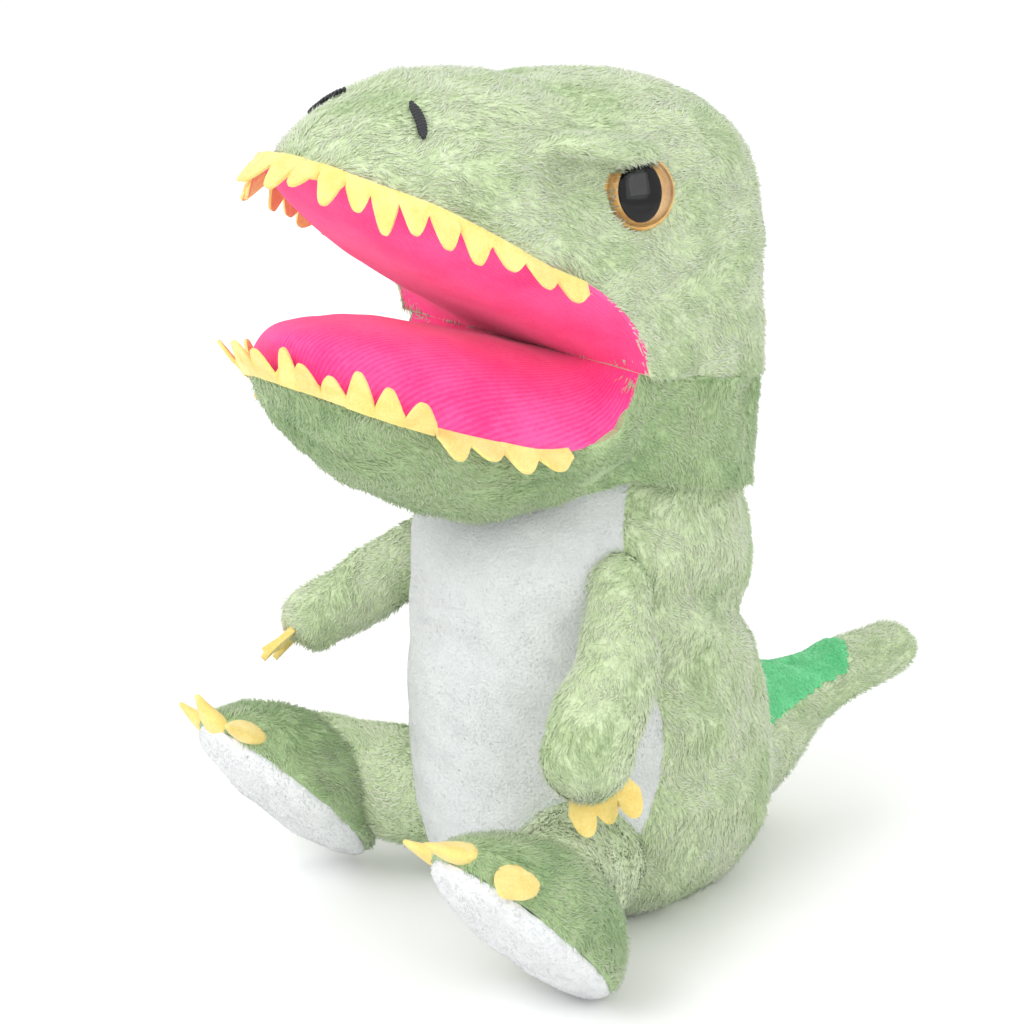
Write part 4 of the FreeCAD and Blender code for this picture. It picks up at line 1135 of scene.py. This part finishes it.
for side, sign in SIDES:
    shoulder = np.array(SHOULDER[side])
    path = [shoulder + np.array(step, float) for step in ARM_PATHS[side]]
    arm = row_of_balls(f"{side}_arm_skin", path, ARM_RADII[side], 1.8, 12)
    seam = [tuple(point + np.array([sign * 4, -13, 4])) for point in path[2:]]
    elbow = [tuple(path[2] + np.array(step)) for step in ((sign * 14, 4, 6), (sign * 13, -6, 2),
                                                          (sign * 4, -15, 0))]
    press(arm, ((seam, 1.6, -1.1), (elbow, 4.5, -2.0)), both_sides=False)
    rumple(arm, 26, 1.0, 81 + sign)
    rumple(arm, 10, 0.3, 83 + sign)
    soft(arm)
    dress(arm, LIGHT_BACKING)
    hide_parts(f"{side}_arm", f"{side}_arm_stuffing")
    hair = pile(f"{side}_arm_pile", arm, LIGHT_PILE, "light_plush",
                limb_flow(path[1], path[-1]), seed=85 + sign)
    root = mm(*(shoulder + np.array([-sign * 9, 5, 2])))
    tip = mm(*(shoulder + np.array([sign * 3, -5, -6])))
    for piece in (arm, hair):
        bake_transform(piece)

    # three felt claws at the end of the paw
    way = Vector(CLAW_WAY[side]).normalized()
    across = Vector(CLAW_ACROSS[side])
    across = (across - way * across.dot(way)).normalized()
    flat = way.cross(across)
    base = Vector(path[-1]) + way * (ARM_RADII[side][-1] - 1.5)

    def claw_place(u, v, base=base, way=way, across=across, flat=flat):
        finger = (u * 3) % 1.0
        reach = np.clip(1 - np.abs(2 * finger - 1) ** 2.2, 0, 1) ** 0.6
        length = -3 + v * (6.5 + 8.5 * reach)
        width = (u - 0.5) * 21 * (0.86 + 0.26 * v)
        bend = 1.6 * np.sin(u * math.pi * 3 + 0.4) * v
        places = (np.array(base)[None, :] + np.outer(width, np.array(across))
                  + np.outer(length, np.array(way)) + np.outer(bend, np.array(flat)))
        return places * MM

    claws = sheet_grid(f"{side}_hand_claw_felt", 60, 10, claw_place)
    use(claws, "SOLIDIFY", thickness=2.2 * MM, offset=0.0)
    close_seams(claws, 0.01)
    use(claws, "BEVEL", width=0.5 * MM, segments=2, limit_method="ANGLE")
    dress(soft(claws), YELLOW_FELT)
    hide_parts(f"{side}_hand_claws")
    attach(claws, f"{side}_arm")

# ------------------------------------------------------------------ legs and feet
FOOT_TILT = math.radians(46)
FOOT_SIZE = (28.0, 41.0, 28.0)
CLAW_LENGTH = 19.0
TOES = {   # each toe claw: degrees round the toe end, degrees down from the foot's own upright
    "left": ((-48, 112), (-5, 122), (37, 134)),
    "right": ((-45, 98), (-9, 88), (20, 118)),
}
FOOT_SHIFT = {"left": (0, 0, 0), "right": (6, 10, 2.5)}    # the right foot is drawn in a little

for side, sign in SIDES:
    hip = np.array(pivot(f"{side}_leg_swing")) / MM
    low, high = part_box(f"{side}_sole")
    sole_centre = Vector((low + high) / 2) / MM + Vector(FOOT_SHIFT[side])
    foot_frame = Matrix.Translation(mm(*sole_centre)) @ Matrix.Rotation(-FOOT_TILT, 4, "X")
    foot_up = Vector((0, math.sin(FOOT_TILT), math.cos(FOOT_TILT)))
    ankle = np.array(sole_centre) + 13 * np.array(foot_up)
    path = [hip + np.array([-sign * 8, 8, 2]), hip, (hip + ankle) / 2, ankle]
    leg = row_of_balls(f"{side}_leg_skin", path, (20, 20.5, 18, 16), 2.0, 8)
    below = points_of(leg)
    below[:, 2] = np.maximum(below[:, 2], 0.0022)
    put_points(leg, below)
    knee = [tuple(ankle + np.array(step)) for step in ((-sign * 2, 26, 14), (sign * 10, 22, 8),
                                                       (sign * 18, 14, -4))]
    press(leg, ((knee, 5, -2.0),), both_sides=False)
    rumple(leg, 26, 1.0, 91 + sign)
    soft(leg)
    dress(leg, LIGHT_BACKING)
    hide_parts(f"{side}_leg", f"{side}_leg_stuffing")
    hair = pile(f"{side}_leg_pile", leg, LIGHT_PILE, "light_plush", limb_flow(hip, ankle),
                seed=94 + sign, keep=lambda points, facing: points[:, 2] > 0.003)
    way = Vector(ankle - hip).normalized()
    for piece in (leg, hair):
        mm(*(Vector(hip) - way * 10))
        mm(*(Vector(hip) + way * 14))
        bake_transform(piece)

    # foot: a stuffed dome with its toes up, drawn in round a white padded sole
    top = ball(f"{side}_foot_skin", (0, 0, 0), mm(*FOOT_SIZE), segments=56)
    pad = ball(f"{side}_sole_skin", (0, 0, 0), mm(FOOT_SIZE[0] - 1, FOOT_SIZE[1] - 1, 9.5),
               segments=56)
    for piece in (top, pad):
        co = points_of(piece) / MM
        toes = np.clip(-co[:, 1] / FOOT_SIZE[1], -1, 1)
        co[:, 0] *= 1 + 0.10 * toes
        co[:, 2] *= np.where(co[:, 2] > 0, 1 - 0.22 * np.clip(toes, 0, 1), 1)
        put_points(piece, co * MM)
    trim(top, (0, 0, 0), Vector((0, 0, -1)))
    trim(pad, (0, 0, 0.0012), Vector((0, 0, 1)))
    for piece, voxel in ((top, 1.8), (pad, 1.8)):
        use(piece, "REMESH", mode="VOXEL", voxel_size=voxel * MM)
        use(piece, "SMOOTH", factor=0.5, iterations=4)
        piece.matrix_world = foot_frame
        settle(piece)
        rumple(piece, 22, 0.8, 97 + sign)
        under = points_of(piece)
        under[:, 2] = np.maximum(under[:, 2], 0.0006)
        put_points(piece, under)
        soft(piece)
    dress(top, DARK_BACKING)
    dress(pad, WHITE_BACKING)
    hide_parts(f"{side}_foot", f"{side}_foot_stuffing")
    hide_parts(f"{side}_sole")
    upward = np.array(foot_up)

    def over_sole(points, facing, upward=upward):
        return (facing @ upward > -0.55) & (points[:, 2] > 0.002)

    def under_sole(points, facing, upward=upward):
        return (facing @ upward < 0.25) & (points[:, 2] > 0.0015)

    toe = np.array(sole_centre) + np.array([0, -40 * math.cos(FOOT_TILT), 30.0])
    top_pile = pile(f"{side}_foot_pile", top, DARK_PILE, "dark_plush", brushed_from(*toe),
                    seed=101 + sign, keep=over_sole)
    pad_pile = pile(f"{side}_sole_pile", pad, WHITE_PILE, "white_plush", brushed_from(*toe),
                    length=1.3, width=0.5, spacing=0.9, seed=104 + sign, keep=under_sole)
    for piece in (top, pad, top_pile, pad_pile):
        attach(piece, f"{side}_leg")

    claws = []
    for index, (turn, lean) in enumerate(TOES[side]):
        angle = math.radians(turn)
        rim = (FOOT_SIZE[0] * 1.1 * math.sin(angle), -FOOT_SIZE[1] * 1.04 * math.cos(angle))
        deselect()
        bpy.ops.mesh.primitive_cone_add(vertices=24, radius1=7.0 * MM, radius2=1.5 * MM,
                                        depth=CLAW_LENGTH * MM, end_fill_type="NGON")
        claw = named(f"{side}_toe_claw_{index}")
        bpy.ops.object.mode_set(mode="EDIT")
        bpy.ops.mesh.select_all(action="SELECT")
        bpy.ops.mesh.subdivide(number_cuts=3)
        bpy.ops.object.mode_set(mode="OBJECT")
        co = points_of(claw) / MM
        share = np.clip(co[:, 2] / CLAW_LENGTH + 0.5, 0, 1)
        fat = 1 + 0.42 * np.sin(share * math.pi)
        co[:, 0] *= fat
        co[:, 1] *= 0.5 * fat
        co[:, 1] += 3.4 * share ** 2
        put_points(claw, co * MM)
        use(claw, "REMESH", mode="VOXEL", voxel_size=0.9 * MM)
        use(claw, "SMOOTH", factor=0.5, iterations=3)
        claw.matrix_world = (foot_frame @ Matrix.Translation(mm(rim[0], rim[1], 1.6))
                             @ Matrix.Rotation(angle, 4, "Z")
                             @ Matrix.Rotation(math.radians(lean), 4, "X"))
        claws.append(settle(claw))
    deselect()
    for claw in claws:
        claw.select_set(True)
    bpy.context.view_layer.objects.active = claws[0]
    bpy.ops.object.join()
    felt = named(f"{side}_toe_claw_felt")
    dress(soft(felt), YELLOW_FELT)
    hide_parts(f"{side}_toe_claws")
    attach(felt, f"{side}_leg")

# ------------------------------------------------------------------ tail
TAIL = np.array(pivot("tail_wag")) / MM
tail_path = [TAIL + np.array(step, float) for step in
             ((0, -8, 0), (0, 8, 0), (0, 28, 3), (0, 50, 8), (0, 72, 11), (0, 92, 13))]
tail_skin = row_of_balls("tail_skin", tail_path, (25, 25, 18, 12.5, 11, 10), 1.8, 12)
press(tail_skin, (
    (((0, 96, 56), (8, 92, 40), (10, 84, 30)), 5, -1.6),
    (((0, 112, 58), (9, 110, 42)), 5, -0.8)))
rumple(tail_skin, 24, 0.9, 111)
soft(tail_skin)
STRIPE_END, STRIPE_HALF = 66.0, 62.0


def on_patch(points):
    """The bright patch along the top of the tail's root, pointed at its far end."""
    ahead = points[:, 1] / MM - TAIL[1]
    axis = TAIL[2] + 2 + 0.13 * ahead
    angle = np.degrees(np.arctan2(np.abs(points[:, 0] / MM), points[:, 2] / MM - axis))
    reach = STRIPE_HALF * (1 + 0.15 * (1 - ahead / STRIPE_END))
    return (ahead > 0) & (ahead < STRIPE_END - 0.12 * angle) & (angle < reach)


pick(tail_skin)
bpy.ops.object.duplicate()
patch = named("tail_patch_cloth")
mesh = patch.data
co = points_of(patch)
centres = np.array([co[list(face.vertices)].mean(axis=0) for face in mesh.polygons])
mesh.polygons.foreach_set("select", ~on_patch(centres))
mesh.vertices.foreach_set("select", np.zeros(len(mesh.vertices), bool))
mesh.edges.foreach_set("select", np.zeros(len(mesh.edges), bool))
bpy.ops.object.mode_set(mode="EDIT")
bpy.ops.mesh.select_mode(type="FACE")
bpy.ops.mesh.delete(type="FACE")
bpy.ops.object.mode_set(mode="OBJECT")
use(patch, "SOLIDIFY", thickness=1.6 * MM, offset=0.6)
soft(patch, 60)
dress(tail_skin, LIGHT_BACKING)
dress(patch, BRIGHT_BACKING)
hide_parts("tail_cover", "tail_stuffing")
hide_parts("tail_stripe")
tail_pile = pile("tail_pile", tail_skin, LIGHT_PILE, "light_plush", brushed_to(0, 1, 0),
                 seed=112, keep=lambda points, facing: ~on_patch(points))
patch_pile = pile("tail_patch_pile", patch, BRIGHT_PILE, "bright_plush", brushed_to(0, 1, 0),
                  length=1.2, width=0.5, spacing=0.86, seed=113,
                  keep=lambda points, facing: facing[:, 2] > -0.2)
for piece in (tail_skin, patch, tail_pile, patch_pile):
    mm(0, TAIL[1] - 14, TAIL[2])
    mm(0, TAIL[1] + 14, TAIL[2])
    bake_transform(piece)

# ------------------------------------------------------------------ washers inside the head
for side, _ in SIDES:
    washer = frame["nodes"][f"{side}_eye_washer"]
    washer.data.materials.clear()
    washer.data.materials.append(WASHER)

# ------------------------------------------------------------------ floor, light, camera
deselect()
bpy.ops.mesh.primitive_plane_add(size=12, location=(0, 0, -0.0004))
floor = named("studio_floor")
paper = Finish("studio_paper")
floor.data.materials.append(paper.surface(Base_Color=shade(247, 247, 247), Roughness=0.9,
                                          Specular_IOR_Level=0.1))

world = bpy.data.worlds.new("studio_air")
bpy.context.scene.world = world
world.use_nodes = True
world.node_tree.nodes["Background"].inputs["Color"].default_value = (1, 1, 1, 1)
world.node_tree.nodes["Background"].inputs["Strength"].default_value = 1.0


def softbox(name, place, size, power, aim):
    """A square studio light that faces a point."""
    light = bpy.data.lights.new(name, "AREA")
    light.size = size
    light.energy = power
    lamp = bpy.data.objects.new(name, light)
    bpy.context.scene.collection.objects.link(lamp)
    lamp.location = place
    lamp.rotation_euler = (Vector(place) - Vector(aim)).to_track_quat("Z", "Y").to_euler()
    return lamp


AIM = (0, -0.02, 0.15)
softbox("key_softbox", (0.1, -1.5, 1.5), 1.0, 17, AIM)
softbox("side_softbox", (1.5, -0.3, 0.9), 1.0, 6, AIM)
softbox("back_softbox", (-1.0, 1.2, 1.2), 1.0, 7, AIM)

AZIMUTH, ELEVATION, DISTANCE = math.radians(48.83), math.radians(17.0), 1.150
TARGET = Vector((-0.0883, 0.042, 0.1008))
SENSOR, FOCAL_SHARE = 36.0, 3.085
back = Vector((math.sin(AZIMUTH) * math.cos(ELEVATION), -math.cos(AZIMUTH) * math.cos(ELEVATION),
               math.sin(ELEVATION)))
lens = bpy.data.cameras.new("camera")
lens.sensor_width = SENSOR
lens.lens = SENSOR * FOCAL_SHARE
camera = bpy.data.objects.new("camera", lens)
bpy.context.scene.collection.objects.link(camera)
camera.location = TARGET + back * DISTANCE
camera.rotation_euler = back.to_track_quat("Z", "Y").to_euler()
bpy.context.scene.camera = camera
bpy.context.scene.view_settings.view_transform = "Standard"
